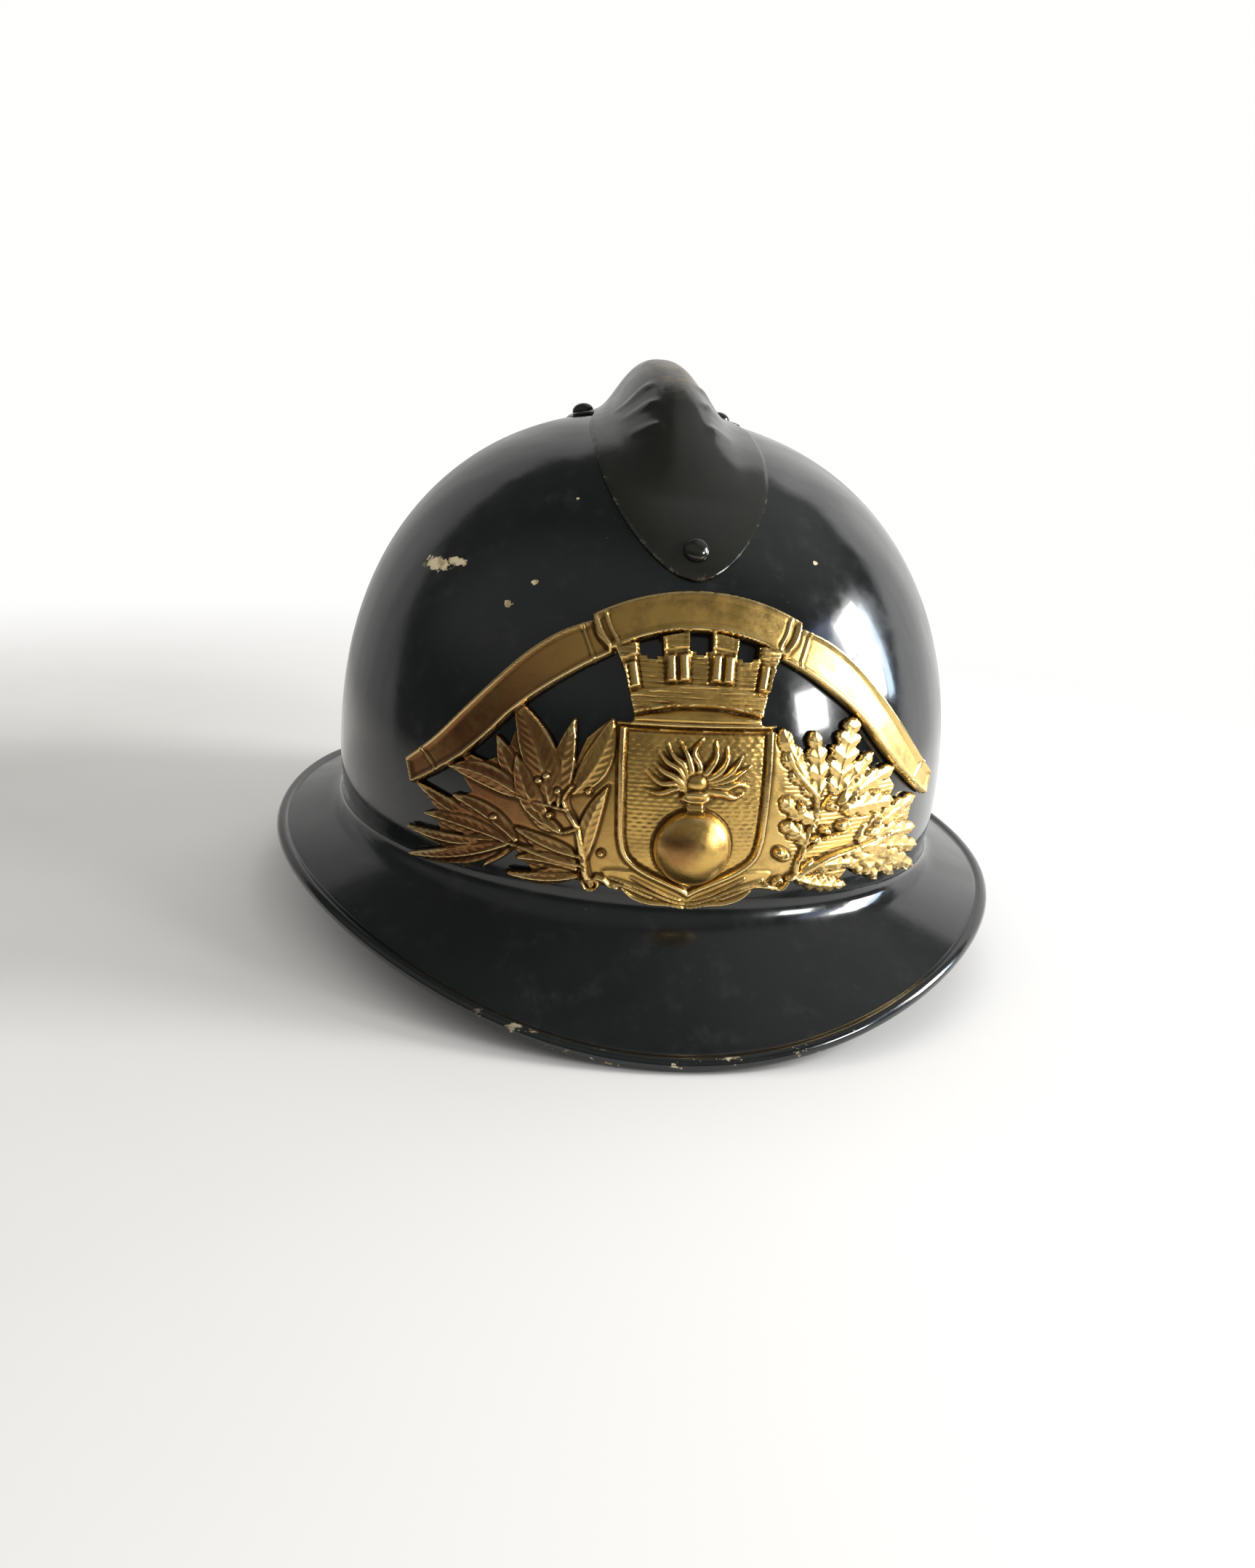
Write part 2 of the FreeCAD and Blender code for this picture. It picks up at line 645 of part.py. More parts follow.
def make_clip(angle_degrees):
    """Thin steel strip: up the inside of the shell, under the liner and up inside it."""
    plan = math.radians(angle_degrees)
    corners = [math.asin(side * CLIP_WIDTH / 2 / tightest_wall(plan)) for side in (-1, 1)]
    nearest = min(tightest_wall(plan + turn) * math.cos(turn) for turn in corners)
    wall = nearest - SHEET - CLIP_GAP - CLIP_SHEET / 2
    low = LINER_BOTTOM - CLIP_DROP
    inner = felt_wall(plan) - FELT - LAYER_GAP - LEATHER - CLIP_DROP
    points = ((wall, CLIP_TOP), (wall, low), (inner, low), (inner, low + CLIP_HOOK))
    outline = [Vector(r, -CLIP_WIDTH / 2, z) for r, z in points]
    shape = None
    for a, b in zip(outline, outline[1:]):
        d = b - a
        length = abs(d.x) + abs(d.z)
        corner = Vector(min(a.x, b.x) - CLIP_SHEET / 2, a.y, min(a.z, b.z) - CLIP_SHEET / 2)
        size_x = CLIP_SHEET + (length if abs(d.x) > 0 else 0)
        size_z = CLIP_SHEET + (length if abs(d.z) > 0 else 0)
        box = Part.makeBox(size_x, CLIP_WIDTH, size_z, corner)
        shape = box if shape is None else shape.fuse(box)
    shape = shape.removeSplitter()
    shape.rotate(Vector(0, 0, 0), Vector(0, 0, 1), angle_degrees)
    return shape


# ---------------------------------------------------------------- chin strap

def pivot_wall():
    """Outside of the shell at the strap pivots."""
    return side_wall(PIVOT_Y, PIVOT_Z - BRIM_LINE)


def pivot_seat():
    """Outer face of the pivot washers, clear of the curved wall."""
    return side_wall(PIVOT_Y, FILLET_UP) - SHEET - HANGER_SEAT_GAP


def along_strap(x, reach, across=0.0):
    """Point in the strap's plane: reach from the pivot axis, and across the strap's width."""
    a = math.radians(STRAP_TILT)
    return Vector(
        x,
        PIVOT_Y + reach * math.cos(a) + across * math.sin(a),
        PIVOT_Z - reach * math.sin(a) + across * math.cos(a),
    )


STRAP_LINE = ((HANGER_LOOP_X, HANGER_LOOP_REACH), (84.5, 36.0), (76.5, 56.0), (63.5, 77.0), (48.0, 96.0),
              (STRAP_HALF_RUN, STRAP_REACH))


def strap_layer(inside, thickness, line):
    """Leather layer: the line is its middle, from one end to the straight run and back up the far side."""
    def side(shift):
        points = [along_strap(x + shift * nx, r + shift * nr, -STRAP_WIDTH / 2)
                  for x, r, nx, nr in with_normals(line)]
        curve = Part.BSplineCurve()
        curve.interpolate(Points=points, InitialTangent=along_strap(0, 1) - along_strap(0, 0),
                          FinalTangent=Vector(-1, 0, 0))
        right = curve.toShape()
        left = right.mirror(Vector(0, 0, 0), Vector(1, 0, 0))
        run = Part.makeLine(points[-1], Vector(-points[-1].x, points[-1].y, points[-1].z))
        return right, run, left, points[0]

    near = side(inside)
    far = side(inside + thickness)
    edges = list(near[:3]) + list(far[:3])
    for sign in (1, -1):
        a, b = near[3], far[3]
        edges.append(Part.makeLine(Vector(sign * a.x, a.y, a.z), Vector(sign * b.x, b.y, b.z)))
    wire = Part.Wire(Part.__sortEdges__(edges))
    width = along_strap(0, 0, STRAP_WIDTH) - along_strap(0, 0, 0)
    return Part.Face(wire).extrude(width)


def with_normals(line):
    """Each point of the line with its outward direction, level at the straight run."""
    out = []
    for i, (x, r) in enumerate(line):
        if i == 0:
            n = (1.0, 0.0)
        elif i == len(line) - 1:
            n = (0.0, 1.0)
        else:
            dx = line[i + 1][0] - line[i - 1][0]
            dr = line[i + 1][1] - line[i - 1][1]
            k = math.hypot(dx, dr)
            n = (dr / k, -dx / k)
        out.append((x, r, n[0], n[1]))
    return out


def make_chin_strap():
    return strap_layer(-STRAP_THICKNESS / 2, STRAP_THICKNESS, STRAP_LINE)


def oriented_box(x0, x1, r0, r1, a0, a1):
    """Box in the strap's own directions: x, reach from the pivot and across."""
    box = Part.makeBox(x1 - x0, r1 - r0, a1 - a0, Vector(x0, r0, a0))
    box.Placement = Placement(Vector(0, PIVOT_Y, PIVOT_Z), Rotation(Vector(1, 0, 0), -STRAP_TILT))
    return box


def make_strap_tail():
    """Free end of the strap: a second layer outside the straight run."""
    near = STRAP_REACH + STRAP_THICKNESS / 2 + TAIL_GAP
    return oriented_box(-STRAP_HALF_RUN + TAIL_SHORT, STRAP_HALF_RUN, near, near + TAIL_THICKNESS,
                        -TAIL_WIDTH / 2, TAIL_WIDTH / 2)


def make_buckle():
    """Rectangular slider around both layers of the strap."""
    low = STRAP_REACH - STRAP_THICKNESS / 2 - BUCKLE_CLEARANCE
    high = STRAP_REACH + STRAP_THICKNESS / 2 + TAIL_GAP + TAIL_THICKNESS + BUCKLE_CLEARANCE
    half = STRAP_WIDTH / 2 + BUCKLE_CLEARANCE
    x0, x1 = BUCKLE_X - BUCKLE_LENGTH / 2, BUCKLE_X + BUCKLE_LENGTH / 2
    wall_half = half + BUCKLE_WALL
    outer = oriented_box(x0, x1, low - BUCKLE_WALL, high + BUCKLE_WALL, -wall_half, wall_half)
    inner = oriented_box(x0 - 1, x1 + 1, low, high, -half, half)
    window_half = half - BUCKLE_WINDOW_SIDE
    window = oriented_box(x0 + BUCKLE_WINDOW_END, x1 - BUCKLE_WINDOW_END, high - 1, high + BUCKLE_WALL + 1,
                          -window_half, window_half)
    return outer.cut(inner).cut(window)


def make_hanger(side):
    """Steel hanger: an eye on the pivot rivet and a rectangular loop that carries the strap's end."""
    outer_x = pivot_seat() - WASHER_THICKNESS - 0.1
    inner_x = outer_x - HANGER_SHEET
    plate = oriented_box(inner_x, outer_x, 0, HANGER_PLATE_REACH, -HANGER_EYE, HANGER_EYE)
    eye = pivot_cylinder(HANGER_EYE, HANGER_SHEET, inner_x)
    half = HANGER_WIDTH / 2
    low_x, high_x = HANGER_LOOP_X - 0.2, HANGER_LOOP_X - 0.2 + HANGER_GAUGE
    foot = HANGER_PLATE_REACH - HANGER_GAUGE
    frame = oriented_box(low_x, outer_x, foot, HANGER_PLATE_REACH, -half, half)
    for sign in (-1, 1):
        a0, a1 = sorted((sign * half, sign * (half - HANGER_GAUGE)))
        frame = frame.fuse(oriented_box(low_x, high_x, foot, HANGER_LOOP_REACH, a0, a1))
    bar = oriented_box(low_x, high_x, HANGER_LOOP_REACH - HANGER_GAUGE, HANGER_LOOP_REACH, -half, half)
    hole = pivot_cylinder(PIVOT_SHANK + SHANK_CLEARANCE, 20, 80)
    hanger = plate.fuse([eye, frame, bar]).cut(hole).removeSplitter()
    return hanger if side > 0 else across_the_middle(hanger)


def make_hanger_rivet(side):
    """Low head outside the shell, shank through the washer and the hanger, and an upset inner end."""
    outside = pivot_wall() + PIVOT_HEAD_GAP
    inner = pivot_seat() - WASHER_THICKNESS - HANGER_SHEET - 0.25
    head = pivot_cone(*PIVOT_HEAD, outside)
    shank = pivot_cylinder(PIVOT_SHANK, outside + 0.1 - inner, inner)
    upset = pivot_cone(*PIVOT_UPSET, inner, outwards=False)
    rivet = head.fuse([shank, upset]).removeSplitter()
    return rivet if side > 0 else across_the_middle(rivet)


def make_hanger_washer(side):
    x = pivot_seat() - WASHER_THICKNESS
    washer = pivot_cylinder(PIVOT_WASHER_RADIUS, WASHER_THICKNESS, x)
    washer = washer.cut(pivot_cylinder(PIVOT_SHANK + SHANK_CLEARANCE, 20, 80))
    return washer if side > 0 else across_the_middle(washer)


# ---------------------------------------------------------------- assembly

def build():
    parts = {}
    shell = make_shell()
    parts["shell"] = shell.cut(Part.makeCompound(shell_holes()))
    parts["crest"] = make_crest()
    for name, (base, normal) in crest_rivet_seats().items():
        parts["crest_rivet_" + name] = make_crest_rivet(base, normal)
        parts["crest_washer_" + name] = make_crest_washer(base, normal)
    parts["badge"] = make_badge()
    parts["liner_band"] = make_liner_band()
    parts["felt_band"] = make_felt_band()
    for index in range(TONGUES):
        parts["liner_tongue_%d" % (index + 1)] = make_tongue(index)
    parts["liner_lace"] = make_lace()
    for name, angle in SPACER_ANGLES.items():
        parts["spacer_" + name] = make_spacer(angle)
        parts["liner_clip_" + name] = make_clip(angle)
    for side, name in ((-1, "left"), (1, "right")):
        parts["badge_tab_" + name] = make_badge_tab(side)
        parts["strap_hanger_" + name] = make_hanger(side)
        parts["hanger_rivet_" + name] = make_hanger_rivet(side)
        parts["hanger_washer_" + name] = make_hanger_washer(side)
    parts["chin_strap"] = make_chin_strap()
    parts["chin_strap_tail"] = make_strap_tail()
    parts["slider_buckle"] = make_buckle()
    return parts


def main():
    os.makedirs(OUT, exist_ok=True)
    for name, shape in build().items():
        shape.exportStep(os.path.join(OUT, name + ".step"))
        box = shape.BoundBox
        print("%-20s solids %d valid %s volume %9.1f  x %7.1f %7.1f  y %7.1f %7.1f  z %7.1f %7.1f" % (
            name, len(shape.Solids), shape.isValid(), shape.Volume,
            box.XMin, box.XMax, box.YMin, box.YMax, box.ZMin, box.ZMax))


main()
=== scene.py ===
"""Looks of a vintage steel firefighter helmet: enamelled shell and crest, pressed brass badge, leather
liner and chin strap.

Lengths are millimetres, and mesh points are turned into metres when a mesh is made. Lights, the floor
and the x, y and z that materials read are in metres. Heights of the dome are counted from the brim line.
"""
import math

import bmesh
import bpy
import numpy as np
from mathutils import Matrix, Vector


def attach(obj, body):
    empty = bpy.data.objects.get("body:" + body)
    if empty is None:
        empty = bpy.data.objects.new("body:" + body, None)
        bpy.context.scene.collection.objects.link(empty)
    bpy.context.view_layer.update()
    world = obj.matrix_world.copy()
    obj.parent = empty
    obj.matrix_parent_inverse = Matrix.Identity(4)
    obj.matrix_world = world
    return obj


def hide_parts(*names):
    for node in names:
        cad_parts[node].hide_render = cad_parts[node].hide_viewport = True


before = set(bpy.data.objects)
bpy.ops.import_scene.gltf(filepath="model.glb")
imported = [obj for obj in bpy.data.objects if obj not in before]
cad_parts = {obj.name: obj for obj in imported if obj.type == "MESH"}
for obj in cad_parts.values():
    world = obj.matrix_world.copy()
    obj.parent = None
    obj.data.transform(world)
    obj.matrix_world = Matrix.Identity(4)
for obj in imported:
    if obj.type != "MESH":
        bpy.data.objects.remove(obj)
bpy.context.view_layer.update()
MM = 0.001

# ---------------------------------------------------------------- sizes of the helmet

DOME_HALF_WIDTH = 96.9
DOME_HALF_LENGTH = 113.5
DOME_HEIGHT = 125.5
DOME_POWER = 2.23
PLAN_POWER = 2.12
WAIST_HEIGHT = 20.0
WAIST_TUCK = 0.022
BRIM_SIDE = 18.9
BRIM_END = 31.2
BRIM_SIDE_DROP = 7.4
BRIM_END_DROP = 26.0
BRIM_DROP_POWER = 3.8
BRIM_PLAN_POWER = 2.05
BEAD_RADIUS = 1.9
SHEET = 0.9
FILLET_UP = 5.0
FILLET_OUT = 6.0
BRIM_LINE = BRIM_END_DROP + BEAD_RADIUS
CREASE_TURN = 140.0
UNDERSIDE_TURN = -190.0

CREST_SHEET = 0.8
CREST_GAP = 0.15
CREST_TIP = -95.0
CREST_MIDDLE = 5.0
CREST_RISE = 15.3
CREST_BELL = 11.7
CREST_BELL_POWER = 2.7
CREST_RIDGE_REACH = 82.0
CREST_APRON = 24.0
CREST_SADDLE = 20.5
CREST_EAR = 26.5
CREST_EAR_MIDDLE = 8.0
CREST_EAR_HALF = 13.0
CREST_YAW = math.radians(1.8)
CREST_REACH = CREST_MIDDLE - CREST_TIP
TIP_RIVET_INSET = 5.5

BADGE_GAP = 0.55
BADGE_TURN = math.radians(1.5)
BADGE_CENTRE = (1.6, 45.0)
BADGE_STEP = 0.27


# ---------------------------------------------------------------- camera, light and stage

FOCAL = 1731.0 / 2156.0              # focal length over the long side of the picture
SENSOR = 36.0
CAMERA_AZIMUTH = math.radians(-7.02)
CAMERA_ELEVATION = math.radians(15.57)
CAMERA_ROLL = math.radians(5.16)
CAMERA_DISTANCE = 432.0
CAMERA_SIDE = -1.1                   # of the point looked at
CAMERA_RAISE = 3.1


def make_camera():
    a, e, roll = CAMERA_AZIMUTH, CAMERA_ELEVATION, CAMERA_ROLL
    back = Vector((math.sin(a) * math.cos(e), -math.cos(a) * math.cos(e), math.sin(e)))
    level = Vector((math.cos(a), math.sin(a), 0))
    upward = back.cross(level)
    right = level * math.cos(roll) + upward * math.sin(roll)
    up = upward * math.cos(roll) - level * math.sin(roll)
    place = Vector((0, 0, CAMERA_RAISE + BRIM_LINE)) + level * CAMERA_SIDE + back * CAMERA_DISTANCE
    data = bpy.data.cameras.new("camera")
    data.sensor_width = SENSOR
    data.lens = SENSOR * FOCAL
    data.clip_start = 0.01
    camera = bpy.data.objects.new("camera", data)
    turn = Matrix((right, up, back)).transposed().to_4x4()
    camera.matrix_world = Matrix.Translation(place * MM) @ turn
    bpy.context.collection.objects.link(camera)
    bpy.context.scene.camera = camera


# ---------------------------------------------------------------- shape of the shell

# how far along skin() each of its parts ends: the dome, the wall under it, and the blend into the brim
DOME_END, WALL_END, BLEND_END = 0.55, 0.70, 0.80


def super_direction(angle, power):
    """Point of the rounded unit oval in this direction."""
    c, s = np.cos(angle), np.sin(angle)
    k = (np.abs(c) ** power + np.abs(s) ** power) ** (-1.0 / power)
    return c * k, s * k


def tuck(height):
    """How far the wall under the dome draws in at this height."""
    return 1.0 - WAIST_TUCK * ((WAIST_HEIGHT - height) / WAIST_HEIGHT) ** 2


def stack(x, y, z):
    return np.stack(np.broadcast_arrays(x, y, z), -1).astype(float)


def dome_ring(angle, fraction, height):
    c, s = super_direction(angle, PLAN_POWER)
    return stack(DOME_HALF_WIDTH * c * fraction, DOME_HALF_LENGTH * s * fraction, BRIM_LINE + height)


def rim_edge(angle):
    c, s = super_direction(angle, BRIM_PLAN_POWER)
    drop = BRIM_SIDE_DROP + (BRIM_END_DROP - BRIM_SIDE_DROP) * np.abs(s) ** BRIM_DROP_POWER
    return stack((DOME_HALF_WIDTH + BRIM_SIDE) * c, (DOME_HALF_LENGTH + BRIM_END) * s, BRIM_LINE - drop)


def bead_point(angle, turn):
    """Point on the rolled edge: turn 0 is its outermost line, 90 its top."""
    edge = rim_edge(angle)
    out = stack(edge[..., 0] / (DOME_HALF_WIDTH + BRIM_SIDE) ** 2,
                edge[..., 1] / (DOME_HALF_LENGTH + BRIM_END) ** 2, 0.0)
    out /= np.linalg.norm(out, axis=-1, keepdims=True)
    a = math.radians(turn)
    lift = np.array([0.0, 0.0, BEAD_RADIUS * math.sin(a)])
    return edge - out * BEAD_RADIUS * (1 - math.cos(a)) + lift


def skin(angle, s):
    """Outside of the shell: s runs from 0 at the crown through the brim line to 1 at the rolled edge."""
    if s <= DOME_END:
        q = s / DOME_END * math.pi / 2
        fraction = math.sin(q) ** (2 / DOME_POWER)
        rise = max(math.cos(q), 0.0) ** (2 / DOME_POWER)
        return dome_ring(angle, fraction, WAIST_HEIGHT + (DOME_HEIGHT - WAIST_HEIGHT) * rise)
    if s <= WALL_END:
        height = WAIST_HEIGHT + (FILLET_UP - WAIST_HEIGHT) * (s - DOME_END) / (WALL_END - DOME_END)
        return dome_ring(angle, tuck(height), height)
    corner = dome_ring(angle, tuck(0.0), 0.0)
    crease = bead_point(angle, CREASE_TURN)
    run = np.linalg.norm(crease - corner, axis=-1, keepdims=True)
    landing = corner + (crease - corner) * (FILLET_OUT / run)
    if s <= BLEND_END:
        t = (s - WALL_END) / (BLEND_END - WALL_END)
        top = dome_ring(angle, tuck(FILLET_UP), FILLET_UP)
        return top * (1 - t) ** 2 + corner * (2 * t * (1 - t)) + landing * t ** 2
    return landing + (crease - landing) * ((s - BLEND_END) / (1 - BLEND_END))


def skin_normal(angle, s, step=0.002):
    da = skin(angle + step, s) - skin(angle - step, s)
    db = skin(angle, min(s + step, 1.0)) - skin(angle, s - step)
    n = np.cross(db, da)
    return n / np.linalg.norm(n, axis=-1, keepdims=True)


def crown_height(x, y):
    """Height of the dome above this place of its plan."""
    g = np.abs(x / DOME_HALF_WIDTH) ** PLAN_POWER + np.abs(y / DOME_HALF_LENGTH) ** PLAN_POWER
    g = np.minimum(g ** (1 / PLAN_POWER), 0.9999)
    return BRIM_LINE + WAIST_HEIGHT + (DOME_HEIGHT - WAIST_HEIGHT) * (1 - g ** DOME_POWER) ** (1 / DOME_POWER)


SLOPE_STEP = 0.05                    # a surface's slope is measured this far to each side


def crown_frame(x, y):
    """Point of the dome above this place of its plan, and the normal there."""
    e = SLOPE_STEP
    n = stack((crown_height(x - e, y) - crown_height(x + e, y)) / (2 * e),
              (crown_height(x, y - e) - crown_height(x, y + e)) / (2 * e), 1.0)
    n /= np.linalg.norm(n, axis=-1, keepdims=True)
    return stack(x, y, crown_height(x, y)), n


def front_depth(x, height):
    """The y of the dome's front at this x and height above the brim line."""
    u = np.clip((height - WAIST_HEIGHT) / (DOME_HEIGHT - WAIST_HEIGHT), 0, 0.999)
    fraction = np.where(height > WAIST_HEIGHT, (1 - u ** DOME_POWER) ** (1 / DOME_POWER), tuck(height))
    c = np.minimum(np.abs(x) / (DOME_HALF_WIDTH * fraction), 0.999)
    return -DOME_HALF_LENGTH * fraction * (1 - c ** PLAN_POWER) ** (1 / PLAN_POWER)


def front_frame(x, height):
    """Point on the front of the dome at this x and height above the brim line, and the normal there."""
    e = SLOPE_STEP
    n = stack((front_depth(x + e, height) - front_depth(x - e, height)) / (2 * e), -1.0,
              (front_depth(x, height + e) - front_depth(x, height - e)) / (2 * e))
    n /= np.linalg.norm(n, axis=-1, keepdims=True)
    return stack(x, front_depth(x, height), BRIM_LINE + height), n


# ---------------------------------------------------------------- mesh helpers

def make_object(name, points, faces, smooth=True):
    mesh = bpy.data.meshes.new(name)
    mesh.from_pydata([tuple(p) for p in np.asarray(points, float) * MM], [], [tuple(f) for f in faces])
    mesh.validate()
    if smooth:
        mesh.polygons.foreach_set("use_smooth", [True] * len(mesh.polygons))
    mesh.update()
    obj = bpy.data.objects.new(name, mesh)
    bpy.context.collection.objects.link(obj)
    return obj


def sharpen(obj, degrees=35.0):
    """Smooth shading with hard edges above this angle."""
    obj.data.set_sharp_from_angle(angle=math.radians(degrees))


def paint(obj, name, values):
    """Stores a number at each point of the mesh for the materials to read."""
    attribute = obj.data.attributes.new(name, "FLOAT", "POINT")
    attribute.data.foreach_set("value", np.asarray(values, np.float32))


def grid_faces(rows, columns, wrap=False, start=0, flip=False):
    """Faces between neighbouring points of a grid; wrap joins its last column to its first."""
    faces = []
    last = columns if wrap else columns - 1
    for i in range(rows - 1):
        for j in range(last):
            k = (j + 1) % columns
            face = (start + i * columns + j, start + i * columns + k,
                    start + (i + 1) * columns + k, start + (i + 1) * columns + j)
            faces.append(face[::-1] if flip else face)
    return faces


def ring_stack(name, rings, poles=(), flip=False):
    """Closed surface through rings of points, from one pole point to the other."""
    columns = len(rings[0])
    points = np.concatenate(rings)
    faces = grid_faces(len(rings), columns, wrap=True, flip=flip)
    if len(poles):
        first = len(points)
        points = np.concatenate([points, poles])
        base = (len(rings) - 1) * columns
        for j in range(columns):
            k = (j + 1) % columns
            caps = ((first, k, j), (first + 1, base + j, base + k))
            faces += [c[::-1] if flip else c for c in caps]
    return make_object(name, points, faces)


def thick_sheet(name, top, bottom):
    """Closed sheet between two grids of points; both are rows x columns x 3."""
    rows, columns = top.shape[:2]
    count = rows * columns
    points = np.concatenate([top.reshape(-1, 3), bottom.reshape(-1, 3)])
    faces = grid_faces(rows, columns) + grid_faces(rows, columns, start=count, flip=True)
    loop = list(range(columns)) + [i * columns + columns - 1 for i in range(1, rows)]
    loop += [(rows - 1) * columns + j for j in range(columns - 2, -1, -1)]
    loop += [i * columns for i in range(rows - 2, 0, -1)]
    for a, b in zip(loop, loop[1:] + loop[:1]):
        faces.append((b, a, count + a, count + b))
    return make_object(name, points, faces)


def closed_loop(name, rings, flip=False):
    """Closed surface through rings of points, the last of which joins the first again."""
    columns = len(rings[0])
    faces = grid_faces(len(rings), columns, wrap=True, flip=flip)
    last = (len(rings) - 1) * columns
    for j in range(columns):
        k = (j + 1) % columns
        face = (last + j, last + k, k, j)
        faces.append((k, j, last + j, last + k) if flip else face)
    return make_object(name, np.concatenate(rings), faces)


def lathe(name, profile, base, normal, segments=40):
    """Round piece: the profile is (radius, height) pairs from its top centre round to its bottom centre."""
    z = Vector(normal).normalized()
    x = z.orthogonal().normalized()
    y = z.cross(x)
    rings, poles = [], []
    for radius, height in profile:
        centre = np.array(base) + np.array(z) * height
        if radius < 1e-6:
            poles.append(centre)
            continue
        turn = np.linspace(0, 2 * math.pi, segments, endpoint=False)
        rings.append(centre + radius * (np.outer(np.cos(turn), x) + np.outer(np.sin(turn), y)))
    return ring_stack(name, rings, poles)


def wobble(x, y, z, seed, scale):
    """Slow, smooth, repeatable noise between about -1 and 1."""
    rng = np.random.default_rng(seed)
    total = np.zeros(np.broadcast(x, y, z).shape)
    for _ in range(7):
        d = rng.normal(size=3)
        d /= np.linalg.norm(d)
        pitch = scale * rng.uniform(0.7, 1.6)
        total += np.sin((x * d[0] + y * d[1] + z * d[2]) / pitch * 2 * math.pi + rng.uniform(0, 6.28))
    return total / 4.0


# ---------------------------------------------------------------- shell

SHELL_COLUMNS = 288
DENT = 0.10                          # slow unevenness of the pressing
DENT_SCALE = 75.0
RIM_TURN = 75.0                      # the worn part of the rolled edge reaches this far up and down
INSIDE_TURN = -100.0                 # the rolled edge counts as inside from here on


def make_shell():
    """Dome, brim and rolled edge as one closed skin, with a number for its rim and one for its inside."""
    angles = np.linspace(0, 2 * math.pi, SHELL_COLUMNS, endpoint=False)
    steps = np.concatenate([
        np.linspace(0.012, DOME_END, 64), np.linspace(0.56, WALL_END, 12)[:-1],
        np.linspace(WALL_END, BLEND_END, 13)[:-1], np.linspace(BLEND_END, 0.995, 16)])
    outside, inside = [], []
    for s in steps:
        skin_points, normals = skin(angles, s), skin_normal(angles, s)
        dent = DENT * wobble(*np.moveaxis(skin_points, -1, 0), seed=3, scale=DENT_SCALE)
        outside.append(skin_points + normals * dent[:, None])
        inside.append(skin_points - normals * (SHEET - dent[:, None]))
    turns = np.linspace(CREASE_TURN, UNDERSIDE_TURN, 27)
    bead = [bead_point(angles, turn) for turn in turns]
    crown = BRIM_LINE + DOME_HEIGHT
    poles = np.array([[0, 0, crown], [0, 0, crown - SHEET]], float)
    rings = outside + bead + inside[::-1]
    shell = ring_stack("shell_enamelled", rings, poles, flip=True)
    on_rim = [0.0] * len(outside) + [float(abs(turn) < RIM_TURN) for turn in turns] + [0.0] * len(inside)
    within = [0.0] * len(outside) + [float(turn < INSIDE_TURN) for turn in turns] + [1.0] * len(inside)
    paint(shell, "rim", np.append(np.repeat(on_rim, len(angles)), (0.0, 0.0)))
    paint(shell, "inside", np.append(np.repeat(within, len(angles)), (0.0, 1.0)))
    return shell


# ---------------------------------------------------------------- crest

def smooth(t):
    """Soft step of a number that runs from 0 to 1."""
    return t * t * (3 - 2 * t)


SADDLE_HALF = 14.0                   # the narrow middle of the crest reaches this far to the front and back
SADDLE_BLEND = 26.0                  # and widens to the flaps over this length
FLAP_POWER = 2.6
FLAP_ROUND = 0.55
EAR_BLEND = 4.0
FLUTES = (-31.0, -42.0, -53.0)       # along the crest, repeated behind the middle
FLUTE_DEPTH = 0.95
FLUTE_WIDTH = 1.9
FLUTE_LEAN = 0.55


def crest_width(u, ears=True):
    """Half-width of the crest at u, which runs along it from the front tip to the rear one."""
    side = np.abs(u - CREST_MIDDLE)
    q = np.minimum(side / CREST_REACH, 1.0)
    past_half = np.maximum(q - 0.5, 0) ** FLAP_POWER / 0.5 ** FLAP_POWER
    flap = CREST_APRON * np.maximum(1 - past_half, 0.0) ** FLAP_ROUND
    blend = smooth(np.clip((side - SADDLE_HALF) / SADDLE_BLEND, 0.0, 1.0))
    body = CREST_SADDLE * (1 - blend) + flap * blend
    if ears:
        from_ear = np.abs(u - CREST_EAR_MIDDLE)
        near = np.clip((CREST_EAR_HALF + EAR_BLEND - 1 - from_ear) / EAR_BLEND, 0.0, 1.0)
        body = body + (CREST_EAR - CREST_SADDLE) * smooth(near)
    return np.maximum(body, 0.15)


def crest_rise(u, x):
    """Height of the ridge and of the slanting flutes on its flanks above the crest's base surface."""
    q = np.minimum(np.abs(u - CREST_MIDDLE) / CREST_RIDGE_REACH, 1.0)
    ridge = CREST_RISE * (1 - q * q) ** 1.25
    rise = ridge * np.exp(-(np.abs(x) / CREST_BELL) ** CREST_BELL_POWER)
    near = CREST_MIDDLE - np.abs(u - CREST_MIDDLE)
    for k, middle in enumerate(FLUTES):
        lean = middle + FLUTE_LEAN * (np.abs(x) - 8.0)
        along = np.clip((np.abs(x) - 5.0) / 3.0, 0, 1) * np.clip((17.0 - k - np.abs(x)) / 8.0, 0, 1)
        rise = rise + FLUTE_DEPTH * along * np.exp(-((near - lean) / FLUTE_WIDTH) ** 2)
    return rise


def crest_point(u, x, offset):
    """Point of the crest, turned about its front rivet, this far above its underside."""
    pivot = CREST_TIP + TIP_RIVET_INSET
    wx = x * math.cos(CREST_YAW) - (u - pivot) * math.sin(CREST_YAW)
    wy = pivot + x * math.sin(CREST_YAW) + (u - pivot) * math.cos(CREST_YAW)
    point, normal = crown_frame(wx, wy)
    return point + normal * (CREST_GAP + crest_rise(u, x) + offset)[..., None]


